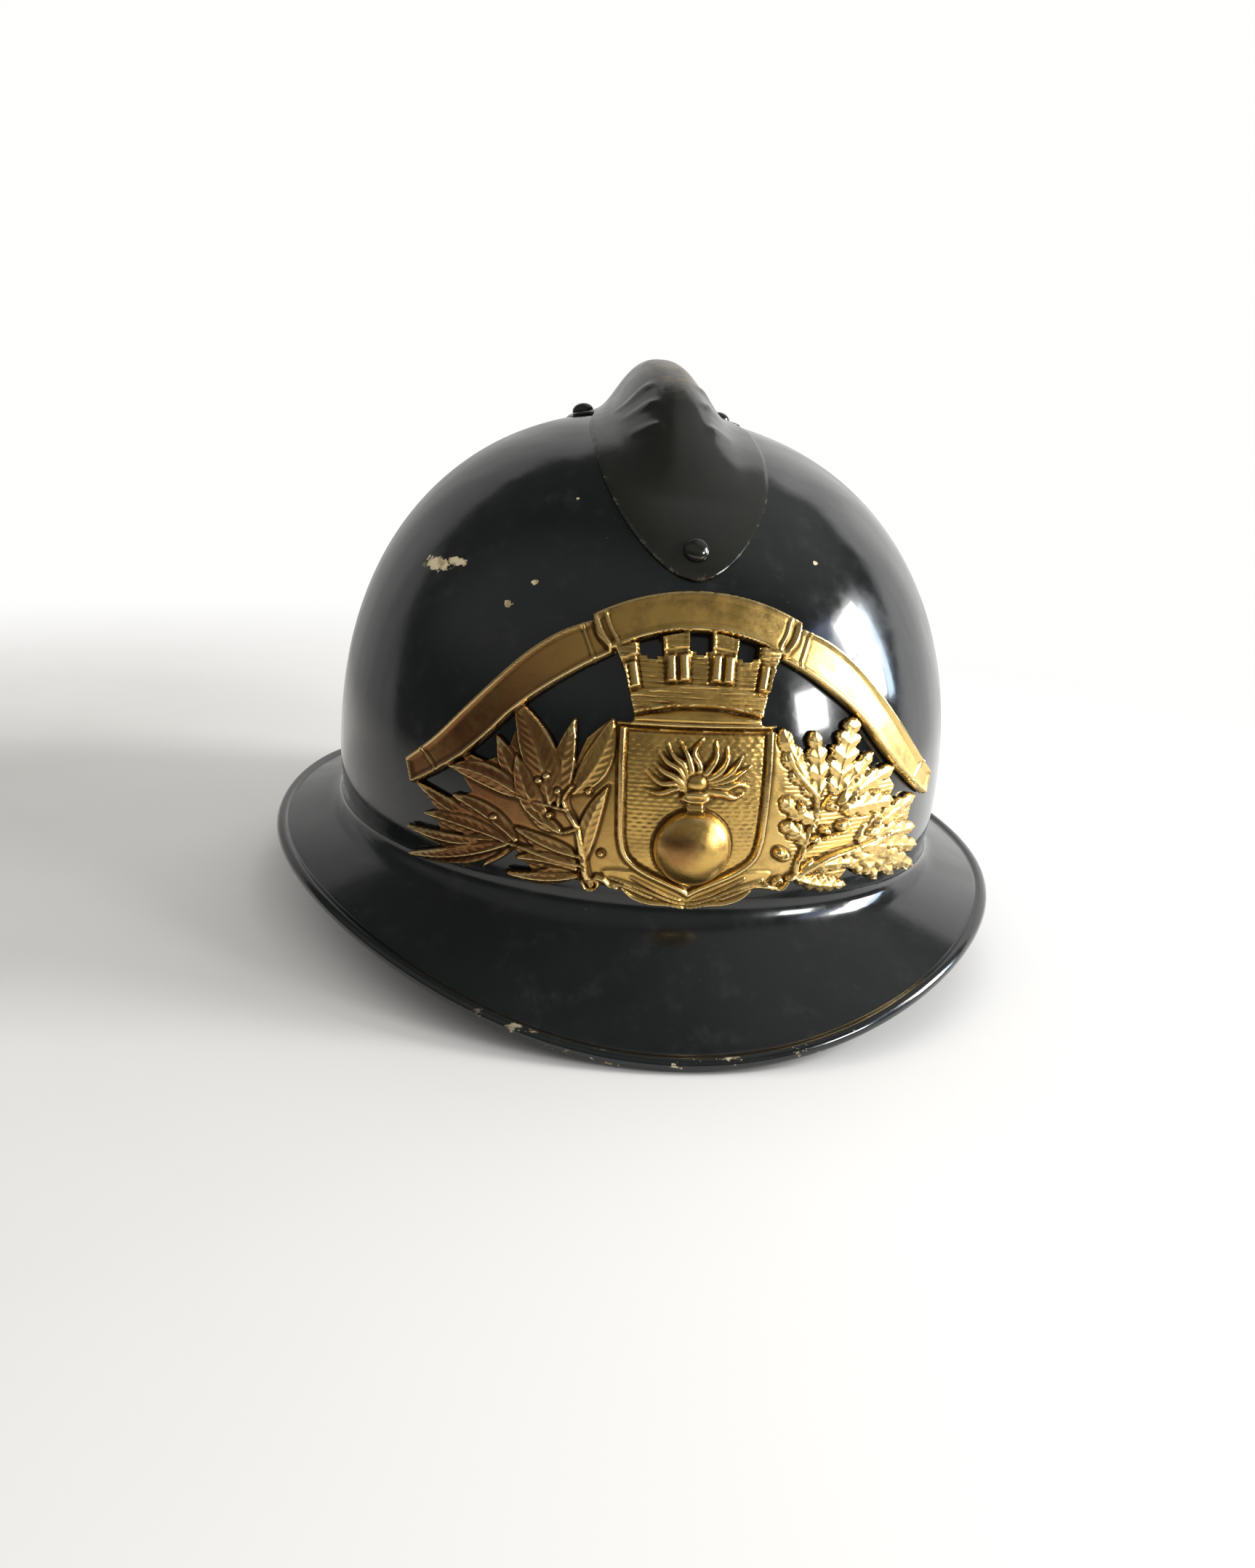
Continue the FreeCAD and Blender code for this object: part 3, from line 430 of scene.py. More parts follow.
def make_crest():
    """The pressed comb: a sheet whose middle columns follow its body and whose outer ones make the ears."""
    t = np.linspace(-1, 1, 181)
    u = CREST_MIDDLE + (CREST_REACH - 0.05) * (0.35 * np.sin(t * math.pi / 2) + 0.65 * t)
    body, full = crest_width(u, ears=False), crest_width(u)
    v = np.linspace(-1, 1, 73)
    x = body[:, None] * v[None, :]
    ear = np.linspace(0, 1, 7)[1:]
    right = body[:, None] + (full - body)[:, None] * ear + 0.02 * ear
    x = np.concatenate([-right[:, ::-1], x, right], axis=1)
    grid_u = np.broadcast_to(u[:, None], x.shape)
    edge = np.minimum(full[:, None] - np.abs(x), 0.9 * (CREST_REACH - np.abs(grid_u - CREST_MIDDLE)))
    roll = 0.28 * np.clip(1 - edge / 0.7, 0, 1) ** 2
    top = crest_point(grid_u, x, CREST_SHEET - roll)
    bottom = crest_point(grid_u, x, np.zeros(x.shape))
    crest = thick_sheet("crest_enamelled", top, bottom)
    ridge = crest_rise(grid_u, x).ravel() / CREST_RISE
    paint(crest, "ridge", np.concatenate([ridge, 0 * ridge]))
    rim = np.clip(1 - edge / 0.9, 0, 1).ravel()
    paint(crest, "edge", np.concatenate([rim, rim]))
    sharpen(crest, 50)
    return crest


def rivet_seat(name):
    places = {
        "front": (CREST_TIP + TIP_RIVET_INSET, 0.0),
        "rear": (CREST_MIDDLE + CREST_REACH - TIP_RIVET_INSET, 0.0),
        "left": (CREST_EAR_MIDDLE, -22.0),
        "right": (CREST_EAR_MIDDLE, 22.0),
    }
    u, x = places[name]
    flat = crest_point(np.array(u), np.array(x), np.array(0.0))
    return crown_frame(flat[0], flat[1])


RIVET_HEAD = 3.4
RIVET_RISE = 2.6
RIVET_SHANK = 1.5
RIVET_PEEN = 2.4


def make_crest_rivet(name):
    """Round head on the crest, shank, and the end peened over the washer inside."""
    point, normal = rivet_seat(name)
    seat = CREST_GAP + CREST_SHEET + 0.15
    profile = []
    for i in range(15):
        a = math.pi / 2 * (i / 14)
        profile.append((RIVET_HEAD * math.sin(a), seat + RIVET_RISE * math.cos(a) ** 0.92))
    profile += [(RIVET_HEAD - 0.25, seat - 0.12), (RIVET_SHANK, seat - 0.12)]
    depth = SHEET + 1.05
    profile += [(RIVET_SHANK, -depth), (RIVET_PEEN, -depth), (RIVET_PEEN - 0.05, -depth - 0.5)]
    profile += [(RIVET_SHANK, -depth - 0.95), (0.0, -depth - 1.0)]
    rivet = lathe("rivet_" + name, profile, point, normal)
    sharpen(rivet, 40)
    return rivet


# ---------------------------------------------------------------- badge: a pressed relief

GROOVE_WIDTH = 0.45                  # of the groove that a stamp can press round itself
STAMP_REACH = 3.0                    # past this distance a stamp changes nothing

# The relief is worked out on a flat grid, x across the badge and z up it, as a height above the badge's
# back. Each feature is stamped over the last: inside its outline it sets the height.

def spline(points, count):
    """Smooth curve through the points (Catmull-Rom), as count points."""
    p = np.array(points, float)
    p = np.concatenate([[2 * p[0] - p[1]], p, [2 * p[-1] - p[-2]]])
    t = np.linspace(0, len(points) - 1, count)
    i = np.minimum(t.astype(int), len(points) - 2)
    f = (t - i)[:, None]
    a, b, c, d = p[i], p[i + 1], p[i + 2], p[i + 3]
    curved = (2 * a - 5 * b + 4 * c - d) * f ** 2 + (3 * b - a - 3 * c + d) * f ** 3
    return 0.5 * (2 * b + (c - a) * f + curved)


def mirrored(points):
    """The outline closed by its own mirror image across x = 0."""
    points = [tuple(p) for p in points]
    return points + [(-x, z) for x, z in reversed(points) if abs(x) > 1e-6]


def mound(t):
    """Round profile: 1 where t is 0, falling to 0 where t is 1 or -1 and beyond."""
    return np.sqrt(np.clip(1 - t ** 2, 0, 1))


def rib(t):
    """Soft ridge: 1 where t is 0, with no sharp end."""
    return np.exp(-t ** 2)


class Relief:
    """Heights and outline of the badge on its grid."""

    def __init__(self, half_width, bottom, top, step):
        self.step = step
        xs = np.arange(-half_width, half_width + step, step)
        zs = np.arange(bottom, top + step, step)
        self.x, self.z = np.meshgrid(xs, zs)
        a = BADGE_TURN
        dx, dz = self.x - BADGE_CENTRE[0], self.z - BADGE_CENTRE[1]
        self.bx = dx * math.cos(a) + dz * math.sin(a)
        self.bz = BADGE_CENTRE[1] - dx * math.sin(a) + dz * math.cos(a)
        self.height = np.zeros(self.x.shape)
        self.outline = np.full(self.x.shape, 99.0)

    def coords(self, own):
        """The badge's own axes, for its heraldic middle, or the helmet's, for its branches."""
        return (self.bx, self.bz) if own else (self.x, self.z)

    def polygon(self, points, own=True):
        """Signed distance to a closed outline, negative inside."""
        x, z = self.coords(own)
        best = np.full(x.shape, 1e9)
        inside = np.zeros(x.shape, bool)
        points = [tuple(p) for p in points]
        for (ax, az), (bx, bz) in zip(points, points[1:] + points[:1]):
            ex, ez = bx - ax, bz - az
            length = ex * ex + ez * ez
            if length < 1e-12:
                continue
            t = np.clip(((x - ax) * ex + (z - az) * ez) / length, 0, 1)
            best = np.minimum(best, (x - ax - t * ex) ** 2 + (z - az - t * ez) ** 2)
            if az != bz:
                inside ^= ((az > z) != (bz > z)) & (x < ex * (z - az) / (bz - az) + ax)
        distance = np.sqrt(best)
        return np.where(inside, -distance, distance)

    def path(self, points, own=False, count=24):
        """Distance to a smooth line, and how far along it the nearest point is, from 0 to 1."""
        x, z = self.coords(own)
        line = spline(points, count)
        best = np.full(x.shape, 1e9)
        along = np.zeros(x.shape)
        for i in range(count - 1):
            (ax, az), (bx, bz) = line[i], line[i + 1]
            ex, ez = bx - ax, bz - az
            t = np.clip(((x - ax) * ex + (z - az) * ez) / max(ex * ex + ez * ez, 1e-9), 0, 1)
            d = (x - ax - t * ex) ** 2 + (z - az - t * ez) ** 2
            nearer = d < best
            best = np.where(nearer, d, best)
            along = np.where(nearer, (i + t) / (count - 1), along)
        return np.sqrt(best), along

    def stamp(self, distance, height, edge=0.45, groove=0.0, cut_outline=True):
        """Sets the height where distance is negative, with a soft step of this width at the edge."""
        w = smooth(np.clip(0.5 - distance / edge, 0, 1))
        base = self.height - groove * rib(np.maximum(distance, 0) / GROOVE_WIDTH)
        self.height = np.where(distance < STAMP_REACH, base * (1 - w) + height * w, self.height)
        if cut_outline:
            self.outline = np.minimum(self.outline, distance)

    def cut(self, distance):
        """Takes away the metal where distance is negative."""
        self.outline = np.maximum(self.outline, -distance)

    def stroke(self, points, width, rise, level=None, own=False, taper=(1.0, 1.0), count=24):
        """Round raised line; taper is its width at the two ends as a part of its middle width."""
        d, t = self.path(points, own, count)
        w = width * (taper[0] * (1 - t) ** 2 + 2 * t * (1 - t) + taper[1] * t ** 2)
        w = np.maximum(w, 0.12)
        base = self.height if level is None else level
        top = base + rise * mound(d / w) * np.clip(w / width * 1.3, 0.3, 1)
        self.stamp(d - w, top, edge=0.3, groove=0.15)

    def bump(self, x0, z0, radius, rise, level, own=True, squash=1.0, turn=0.0):
        """Round or oval boss."""
        x, z = self.coords(own)
        c, s = math.cos(turn), math.sin(turn)
        u = (x - x0) * c + (z - z0) * s
        v = (-(x - x0) * s + (z - z0) * c) / squash
        r = np.hypot(u, v)
        self.stamp((r - radius) * min(squash, 1.0), level + rise * mound(r / radius), edge=0.35, groove=0.25)

    def leaf_frame(self, base, tip, bend):
        """Along (0 to 1) and across (mm) a leaf whose middle line is bent sideways by this much."""
        ax, az = base
        ex, ez = tip[0] - ax, tip[1] - az
        length = math.hypot(ex, ez)
        t = ((self.x - ax) * ex + (self.z - az) * ez) / length ** 2
        side = ((self.z - az) * ex - (self.x - ax) * ez) / length
        bowed = np.clip(t, -0.2, 1.2)
        return t, side - bend * 4 * bowed * (1 - bowed), length

    def laurel_leaf(self, base, tip, half, level, bend):
        """Pointed leaf with a raised edge, a midrib and slanting veins."""
        t, side, length = self.leaf_frame(base, tip, bend)
        tc = np.clip(t, 0, 1)
        width = half * np.sin(math.pi * tc ** 0.85) ** 0.75 * (1 - 0.12 * tc)
        past = np.maximum(-t, t - 1) * length
        distance = np.maximum((np.abs(side) - width) * 0.92, past)
        across = np.abs(side) / np.maximum(width, 0.2)
        swell = 0.55 * (1 - across ** 2) + 0.32 * rib((across - 0.88) / 0.13)
        midrib = 0.5 * rib(side / 0.42) * (1 - 0.6 * tc)
        veins = 0.15 * np.cos((t * length - np.abs(side) * 1.3) * 2 * math.pi / 2.3)
        veins = veins * np.clip(1 - across, 0, 1) * np.clip(across * 3, 0, 1)
        self.stamp(distance, level + swell + midrib + veins, edge=0.4, groove=0.3)

    def oak_leaf(self, base, tip, half, level, bend, lobes):
        """Leaf with rounded lobes, a ragged edge, a midrib and a vein into each lobe."""
        t, side, length = self.leaf_frame(base, tip, bend)
        tc = np.clip(t, 0, 1)
        slant = t * length - np.abs(side) * 0.55
        wave = np.abs(np.sin(slant / length * lobes * math.pi + 0.5))
        body = np.sin(math.pi * np.clip(tc * 0.93 + 0.02, 0, 1) ** 0.9) ** 0.55
        ragged = 0.06 * np.sin(slant * 2 * math.pi / 1.15 + 3 * np.sign(side))
        width = half * body * (0.56 + ragged + 0.42 * wave ** 0.8)
        past = np.maximum(-t, t - 1) * length
        distance = np.maximum((np.abs(side) - width) * 0.8, past)
        across = np.abs(side) / np.maximum(width, 0.2)
        lobe = 0.42 * wave ** 2 * np.clip(across * 1.6, 0, 1) * np.clip(1.15 - across, 0, 1)
        veins = 0.30 * wave ** 12 * np.clip(1.05 - across, 0, 1)
        swell = 0.40 * (1 - across ** 2) + lobe + veins + 0.26 * rib((across - 0.9) / 0.12)
        midrib = 0.55 * rib(side / 0.34) * (1 - 0.5 * tc)
        self.stamp(distance, level + swell + midrib, edge=0.35, groove=0.4)

    def acorn(self, x0, z0, angle, size, level):
        """Nut with its cup at the near end."""
        a = math.radians(angle)
        self.bump(x0, z0, size, 1.3, level, own=False, squash=0.62, turn=a)
        cx, cz = x0 - math.cos(a) * size * 0.6, z0 - math.sin(a) * size * 0.6
        self.bump(cx, cz, size * 0.66, 1.5, level, own=False, squash=0.9, turn=a)


GROUND = 0.75                        # height of the badge's flat ground above its back
HATCH_PITCH = 1.1
LAUREL_GROUND = (
    (-17, 50), (-20, 50.2), (-25.5, 45), (-28.5, 37), (-33, 38), (-36, 43), (-43, 44), (-45, 38), (-50, 35),
    (-56, 34), (-57, 31.5), (-53, 26.5), (-56, 23.5), (-63, 22.5), (-62, 17), (-60, 12), (-60, 8), (-52, 9),
    (-46, 12.5), (-42, 14), (-39, 11.5), (-36, 8), (-27, 8.2), (-22, 7.5), (-17, 8.5))
OAK_GROUND = (
    (21, 49.5), (26, 47.5), (30, 44), (33, 46), (36, 42), (39, 45), (44, 46), (44.5, 40.5), (49.5, 40),
    (52, 37), (57, 36.5), (60, 33), (57.5, 27.5), (63, 26.5), (68, 27), (67, 17.5), (70, 12), (68, 8),
    (60, 8.5), (54, 9), (50, 10.5), (48, 12.5), (45, 9), (37, 8.2), (31, 10), (26, 8.6), (20, 8.2))

# base, tip, half-width, level, sideways bend
LAUREL_LEAVES = (
    ((-28, 30.5), (-19.2, 50.8), 3.6, 0.9, -1.6), ((-31, 27), (-28.3, 49.6), 2.9, 1.2, 0.9),
    ((-38, 27), (-47.2, 42.4), 3.0, 0.9, 0.6), ((-33, 27), (-43.2, 52.0), 4.9, 1.2, -1.4),
    ((-38, 29), (-56.8, 36.4), 3.2, 0.9, 1.2), ((-39.5, 27.8), (-59.6, 31.6), 3.2, 1.3, -2.0),
    ((-33.5, 21), (-42.0, 38.4), 3.1, 1.6, 0.8), ((-24.2, 13), (-19.2, 34.0), 2.5, 1.5, 1.5),
    ((-40.5, 16), (-57.8, 24.6), 3.2, 1.0, -1.0), ((-42, 16), (-67.4, 24.9), 3.2, 0.9, 1.4),
    ((-43, 15.6), (-64.9, 17.2), 2.8, 1.3, -0.8), ((-43, 15.2), (-69.4, 11.9), 2.3, 1.6, 1.6),
    ((-41, 15), (-48.8, 6.4), 1.7, 1.0, -0.8), ((-41.5, 15), (-54.0, 4.9), 1.9, 1.2, -1.0),
    ((-42, 15.2), (-57.2, 5.8), 2.0, 1.4, -0.8), ((-42.5, 15.2), (-68.6, 3.8), 2.7, 1.7, 1.2),
    ((-26, 15.5), (-41.2, 19.9), 2.3, 1.2, 1.0), ((-25.5, 13.5), (-40.0, 15.2), 2.2, 1.1, 0.8),
    ((-25, 11.5), (-41.0, 11.8), 2.3, 1.4, -0.9), ((-24.5, 9.5), (-38.8, 5.9), 2.0, 1.2, -1.0),
    ((-24.5, 10), (-43.4, 7.5), 1.8, 1.6, 1.4), ((-30, 21), (-38.5, 25.2), 2.0, 1.4, 0.7),
)
LAUREL_STEMS = (
    ((-21.6, 8.0), (-23.2, 10.5), (-24.3, 15.5), (-26.2, 22.5), (-28.8, 26.5), (-29.6, 29.5), (-28.2, 32.5)),
    ((-24.6, 14.8), (-31, 15.8), (-37, 17.8), (-41, 19.5)),
    ((-24.2, 12.5), (-33, 13.6), (-43, 15.5), (-50, 17.0)),
    ((-26.2, 22.0), (-30, 20.5), (-33.5, 22.5), (-36.5, 27.0)),
    ((-28.8, 26.5), (-32, 26.8), (-38, 27.5), (-42, 28)),
)
LAUREL_BERRIES = (
    (-24.0, 31.9), (-36.2, 32.9), (-34.4, 34.3), (-19.9, 16.4), (-33.0, 24.6), (-46.5, 21.3), (-31.4, 31.0))

# base, tip, half-width, level, sideways bend, lobes
OAK_LEAVES = (
    ((35, 32.5), (23.0, 50.2), 3.3, 1.0, 0.9, 4), ((34.5, 33), (31.8, 49.6), 3.2, 1.2, -0.6, 4),
    ((39.5, 33), (43.8, 52.4), 4.6, 1.3, 0.5, 5), ((41.5, 34), (50.4, 43.2), 2.7, 1.0, 0.3, 3),
    ((41.0, 30.5), (58.4, 38.2), 3.2, 1.1, 0.9, 4), ((42.0, 29.0), (59.2, 29.2), 3.2, 1.3, 0.5, 4),
    ((35.5, 26.5), (24.3, 32.6), 2.7, 1.2, 0.6, 3), ((33.5, 20.5), (25.2, 26.2), 2.5, 1.4, -0.5, 3),
    ((48.0, 20.0), (68.4, 28.4), 3.2, 1.0, 0.8, 5), ((48.5, 19.2), (69.9, 19.0), 3.3, 1.3, 0.6, 5),
    ((48.5, 18.2), (73.0, 12.2), 3.3, 1.1, 0.8, 5), ((48.0, 17.6), (73.0, 5.4), 3.1, 1.5, 0.9, 5),
    ((47.0, 17.4), (64.2, 6.2), 2.4, 1.2, 0.7, 4), ((46.0, 17.2), (57.2, 6.8), 2.4, 1.5, 0.7, 4),
    ((44.5, 17.0), (51.6, 9.2), 1.9, 1.1, 0.5, 3), ((32.0, 13.8), (48.6, 13.8), 2.5, 1.4, 0.6, 4),
    ((30.5, 11.4), (47.0, 7.4), 2.5, 1.2, -0.8, 5),
)
OAK_STEMS = (
    ((28.8, 11.4), (33, 13.2), (39, 16.2), (45, 17.6), (52, 18.8), (61, 20.6)),
    ((30.6, 12.5), (31.2, 17), (35.5, 20.8), (41, 22.6), (46, 23.2)),
    ((31.2, 16.5), (32.6, 22.5), (34.5, 28.0), (38.5, 33.5)),
    ((34.5, 28.0), (33.8, 33.0), (29.5, 37.5), (27.0, 40.5), (25.2, 44.0)),
)
ACORNS = (                           # x, z, the way the nut points in degrees, half-length
    (26.4, 17.9, -30, 2.3), (43.2, 24.7, 0, 2.1), (35.0, 21.9, 15, 1.4), (37.8, 23.7, -20, 1.5),
    (33.6, 25.0, 40, 1.2), (52.3, 22.0, 10, 1.6), (54.6, 24.3, 30, 1.5), (38.5, 30.2, 160, 1.7),
    (45.2, 32.2, 60, 1.4), (29.8, 30.0, -60, 1.3))

FLAMES = (
    ((1.0, 34.3), (-2.6, 35.2), (-6.8, 33.6), (-11.2, 34.4)),
    ((0.8, 35.0), (-3.0, 36.3), (-7.0, 36.1), (-10.8, 39.5)),
    ((0.6, 35.4), (-3.4, 37.7), (-6.4, 39.0), (-8.8, 41.4)),
    ((0.6, 35.8), (-2.4, 39.6), (-5.6, 41.4), (-7.8, 44.4)),
    ((1.0, 36.0), (-1.2, 40.6), (-3.8, 42.6), (-5.6, 46.0)),
    ((1.4, 36.0), (0.2, 41.0), (-1.0, 43.8), (-2.8, 46.6)),
    ((1.8, 36.0), (2.6, 40.2), (1.0, 43.6), (3.2, 47.2)),
    ((2.4, 36.0), (5.0, 40.0), (6.6, 42.8), (6.4, 46.6)),
    ((2.8, 35.8), (7.0, 38.8), (9.2, 41.8), (9.2, 45.4)),
    ((3.2, 35.4), (8.4, 37.6), (11.6, 40.6), (13.2, 43.0)),
    ((3.4, 35.0), (8.4, 36.4), (12.4, 38.8), (15.6, 40.6)),
    ((3.4, 34.6), (8.6, 35.4), (12.4, 36.4), (15.2, 35.2)),
    ((3.4, 34.2), (8.4, 34.0), (11.4, 33.0), (14.0, 33.8)),
)

RIBBON_OUTSIDE = (
    (24.0, 74.0), (30.0, 71.8), (35.5, 69.0), (42.5, 63.8), (50.0, 56.3), (57.5, 48.0), (64.5, 39.8),
    (72.0, 32.2))
RIBBON_INSIDE = (
    (70.4, 25.6), (66.5, 28.4), (61.5, 32.6), (56.0, 37.4), (50.0, 43.8), (44.5, 50.0), (37.5, 55.9),
    (28.7, 61.9), (21.0, 66.0))
RIBBON_FOLDS = (((28.6, 71.6), (25.6, 63.8)), ((67.6, 36.2), (63.2, 31.4)))
SHIELD_TOP = ((0, 50.4), (19.3, 50.4), (19.3, 40), (19.0, 30))
SHIELD_POINT = ((18.6, 22), (17.6, 17.6), (15.4, 14.6), (11.6, 12.0), (6.4, 9.6), (2.4, 7.7), (0, 6.0))
SHIELD_APRON = (
    (0, 12), (20, 13), (20.6, 10.2), (16.6, 7.4), (15.0, 5.2), (10.4, 4.4), (7.6, 3.5), (3.4, 3.4), (0, 2.9))
SHIELD_SCROLLS = (                   # a line and its width
    (((0, 3.9), (4, 4.9), (10, 7.4), (15.5, 9.4), (19.5, 10.6)), 0.6),
    (((0.5, 2.9), (5, 3.9), (9.5, 4.2), (13.5, 5.4), (16.5, 7.8)), 0.8),
    (((9, 5.6), (12.5, 7.2), (16.0, 8.6), (19.5, 9.0)), 0.7),
    (((1.5, 5.2), (5.5, 6.6), (11, 9.4), (14.5, 11.3)), 0.5))
CROWN_EDGE = (
    (0, 49.8), (16.4, 49.8), (15.9, 51.6), (16.6, 54.6), (17.5, 58.0), (18.3, 61.5), (20.9, 67.6), (0, 72.6))
CROWN_LINES = ((51.4, 0.42, -0.9), (52.3, 0.42, 0.75), (56.6, 0.36, 0.7), (57.3, 0.3, 0.3))   # z, width, rise
CROWN_TOWERS = ((-18.0, 2.2), (-5.7, 3.0), (5.7, 3.0), (18.0, 2.2))                          # x, half-width
CROWN_WINDOWS = ((-11.9, 2.9, 65.0, 70.2), (0.0, 2.9, 66.4, 71.9), (11.9, 2.9, 65.0, 70.2))  # and bottom, top
BRICK_HEIGHT = 1.15
BANNER_MIDDLE_Z = 26.0
BANNER_RADII = (45.8, 55.0)
BANNER_HALF_ANGLE = 0.512            # radians


def stamp_ground(r):
    """Hatched flat metal behind the branches, joined behind the shield."""
    slanted = 0.05 * np.sin((r.x + r.z) * 2 * math.pi / HATCH_PITCH)
    level = 0.13 * np.sin(r.z * 2 * math.pi / HATCH_PITCH)
    for points, hatch in ((LAUREL_GROUND, slanted), (OAK_GROUND, level)):
        r.stamp(r.polygon(points, own=False), GROUND + hatch, edge=0.5)
    link = r.polygon(mirrored(((0, 46), (22, 48), (24, 30), (27, 12), (22, 8), (0, 6))))
    r.stamp(link, GROUND, edge=0.5)


def stamp_ribbon(r, side):
    """Plain ribbon from the banner down to the branches, with a raised rim and a fold near each end."""
    outline = list(spline(RIBBON_OUTSIDE, 26)) + list(spline(RIBBON_INSIDE, 28))
    d = r.polygon([(side * x, z) for x, z in outline])
    rim = 0.55 * rib((d + 0.55) / 0.34)
    panel = -0.35 * np.clip((-d - 1.2) / 0.5, 0, 1)
    swell = 0.35 * np.sin(np.clip((np.abs(r.bx) - 24) / 48, 0, 1) * math.pi)
    r.stamp(d, 1.75 + rim + panel + swell, edge=0.4, groove=0.4)
    for a, b in RIBBON_FOLDS:
        middle = ((a[0] + b[0]) / 2, (a[1] + b[1]) / 2)
        r.stroke([(side * x, z) for x, z in (a, middle, b)], 0.45, 0.4, own=True)


def stamp_banner(r):
    """Plain arched banner over the crown, with two rolls at each end."""
    radius = np.hypot(r.bx, r.bz - BANNER_MIDDLE_Z)
    angle = np.abs(np.arctan2(r.bx, r.bz - BANNER_MIDDLE_Z))
    low, high = BANNER_RADII
    ends = (angle - BANNER_HALF_ANGLE) * radius + 0.5 * np.cos((radius - low) / (high - low) * 2 * math.pi)
    d = np.maximum(np.maximum(low - radius, radius - high), ends)
    rim = 0.55 * rib((d + 0.6) / 0.38)
    panel = -0.3 * np.clip((-d - 1.5) / 0.4, 0, 1)
    arch = 0.35 * np.cos((radius - (low + high) / 2) / (high - low) * math.pi)
    r.stamp(d, 2.35 + rim + panel + arch, edge=0.4, groove=0.5)
    for side in (-1, 1):
        for a, width in ((0.437, 0.5), (0.482, 0.62)):
            line = []
            for q in (low + 1.3, (low + high) / 2, high - 1.4):
                bow = a + 0.012 * math.sin((q - low) / (high - low) * math.pi)
                line.append((side * q * math.sin(bow), BANNER_MIDDLE_Z + q * math.cos(bow)))
            r.stroke(line, width, 0.5, own=True)


def stamp_crown(r):
    """Mural crown: a plain swelling, a brick band, and walls with battlements between four split towers."""
    d = r.polygon(mirrored(CROWN_EDGE))
    course = 0.50 * (np.abs(np.sin(r.bz * math.pi / BRICK_HEIGHT)) ** 0.6 - 0.6)
    shifted = r.bx + np.floor(r.bz / BRICK_HEIGHT) % 2
    brick = 0.10 * (np.abs(np.sin(shifted * math.pi / (2 * BRICK_HEIGHT))) ** 0.3 - 0.7)
    level = r.bz - 2.7 * (1 - (np.clip(np.abs(r.bx) / 17.5, 0, 1.3)) ** 2)
    inside = np.clip(-d / 0.3, 0, 1)
    r.stamp(d, 1.9 + course + 0.6 * brick, edge=0.4, groove=0.4)
    swelling = np.maximum(d, level - 51.0)
    r.stamp(swelling, 1.7 + 0.5 * np.clip(1 - ((r.bz - 51.2) / 1.8) ** 2, 0, 1), edge=0.5)
    band = np.maximum(d, np.maximum(51.8 - level, level - 56.4))
    r.stamp(band, 2.4 + course + 0.5 * brick, edge=0.4)
    for middle, width, rise in CROWN_LINES:
        r.height = r.height + rise * rib((level - middle) / width) * inside
    for x0, half in CROWN_TOWERS:
        spread = 1 + np.clip((r.bz - 64.5) / 12.0, 0, 0.22)
        lean = r.bx - x0 * (1 + (r.bz - 66) * 0.010)
        tower = np.maximum(np.maximum(np.abs(lean) - half * spread, 57.6 - level), d)
        r.stamp(tower, 2.4 + 0.4 * course + brick, edge=0.35, groove=0.3)
        cap = np.maximum(np.maximum(np.abs(lean) - half * spread - 0.2, 65.2 - level), d)
        r.stamp(cap, 2.9 + course + brick, edge=0.35, groove=0.2)
        for middle in (-0.52 * half, 0.52 * half):
            across = (lean - middle) / 1.15
            post = np.maximum(np.abs(lean - middle) - 1.15, np.maximum(57.9 - level, level - 63.9))
            r.stamp(np.maximum(post, d), 2.5 + mound(across), edge=0.3, groove=0.35)
    for x0, half, low, high in CROWN_WINDOWS:
        lean = np.abs(r.bx - x0 * (1 + (r.bz - 67) * 0.008))
        merlon = 0.75 * (lean > 1.1)
        window = np.maximum(lean - half, np.maximum(low + merlon - r.bz, r.bz - high))
        r.stamp(window - 0.6, r.height + 0.35, edge=0.5, cut_outline=False)
        r.cut(window)


def stamp_shield(r):
    """Scrolled apron, and a punched shield with a raised border on it."""
    apron = r.polygon(mirrored(spline(SHIELD_APRON, 30)))
    r.stamp(apron, 1.0, edge=0.5, groove=0.3)
    for side in (-1, 1):
        for line, width in SHIELD_SCROLLS:
            r.stroke([(side * x, z) for x, z in line], width, 0.75, level=1.1, own=True, taper=(0.5, 0.5))
    d = r.polygon(mirrored(SHIELD_TOP + tuple(spline(SHIELD_POINT, 22))))
    broken = np.clip(np.sin(r.bx * 2.6 + 2.4 * np.sin(r.bz * 3.1)), 0, 1)
    punched = 0.15 * np.sin(r.bz * 2 * math.pi / HATCH_PITCH) * broken
    swell = 0.5 * np.clip(-d / 12, 0, 1)
    r.stamp(d, 1.25 + punched + swell, edge=0.5, groove=0.4)
    border = np.where(r.bz > 49.0, 9.0, np.abs(d + 0.95) - 0.85)
    r.stamp(border, 1.9 + 0.75 * mound((d + 0.95) / 0.85), edge=0.3, groove=0.45)
    top = np.maximum(np.abs(r.bz - 50.1) - 0.45, np.abs(r.bx) - 19.8)
    r.stamp(top, 2.3, edge=0.3, groove=0.3)


BALL_RADIUS = 9.7
BALL_MIDDLE_Z = 20.2
BALL_RISE = 7.6
FLAMES_LEFT = 1.9                    # the flames lean this far to the left of their own middle


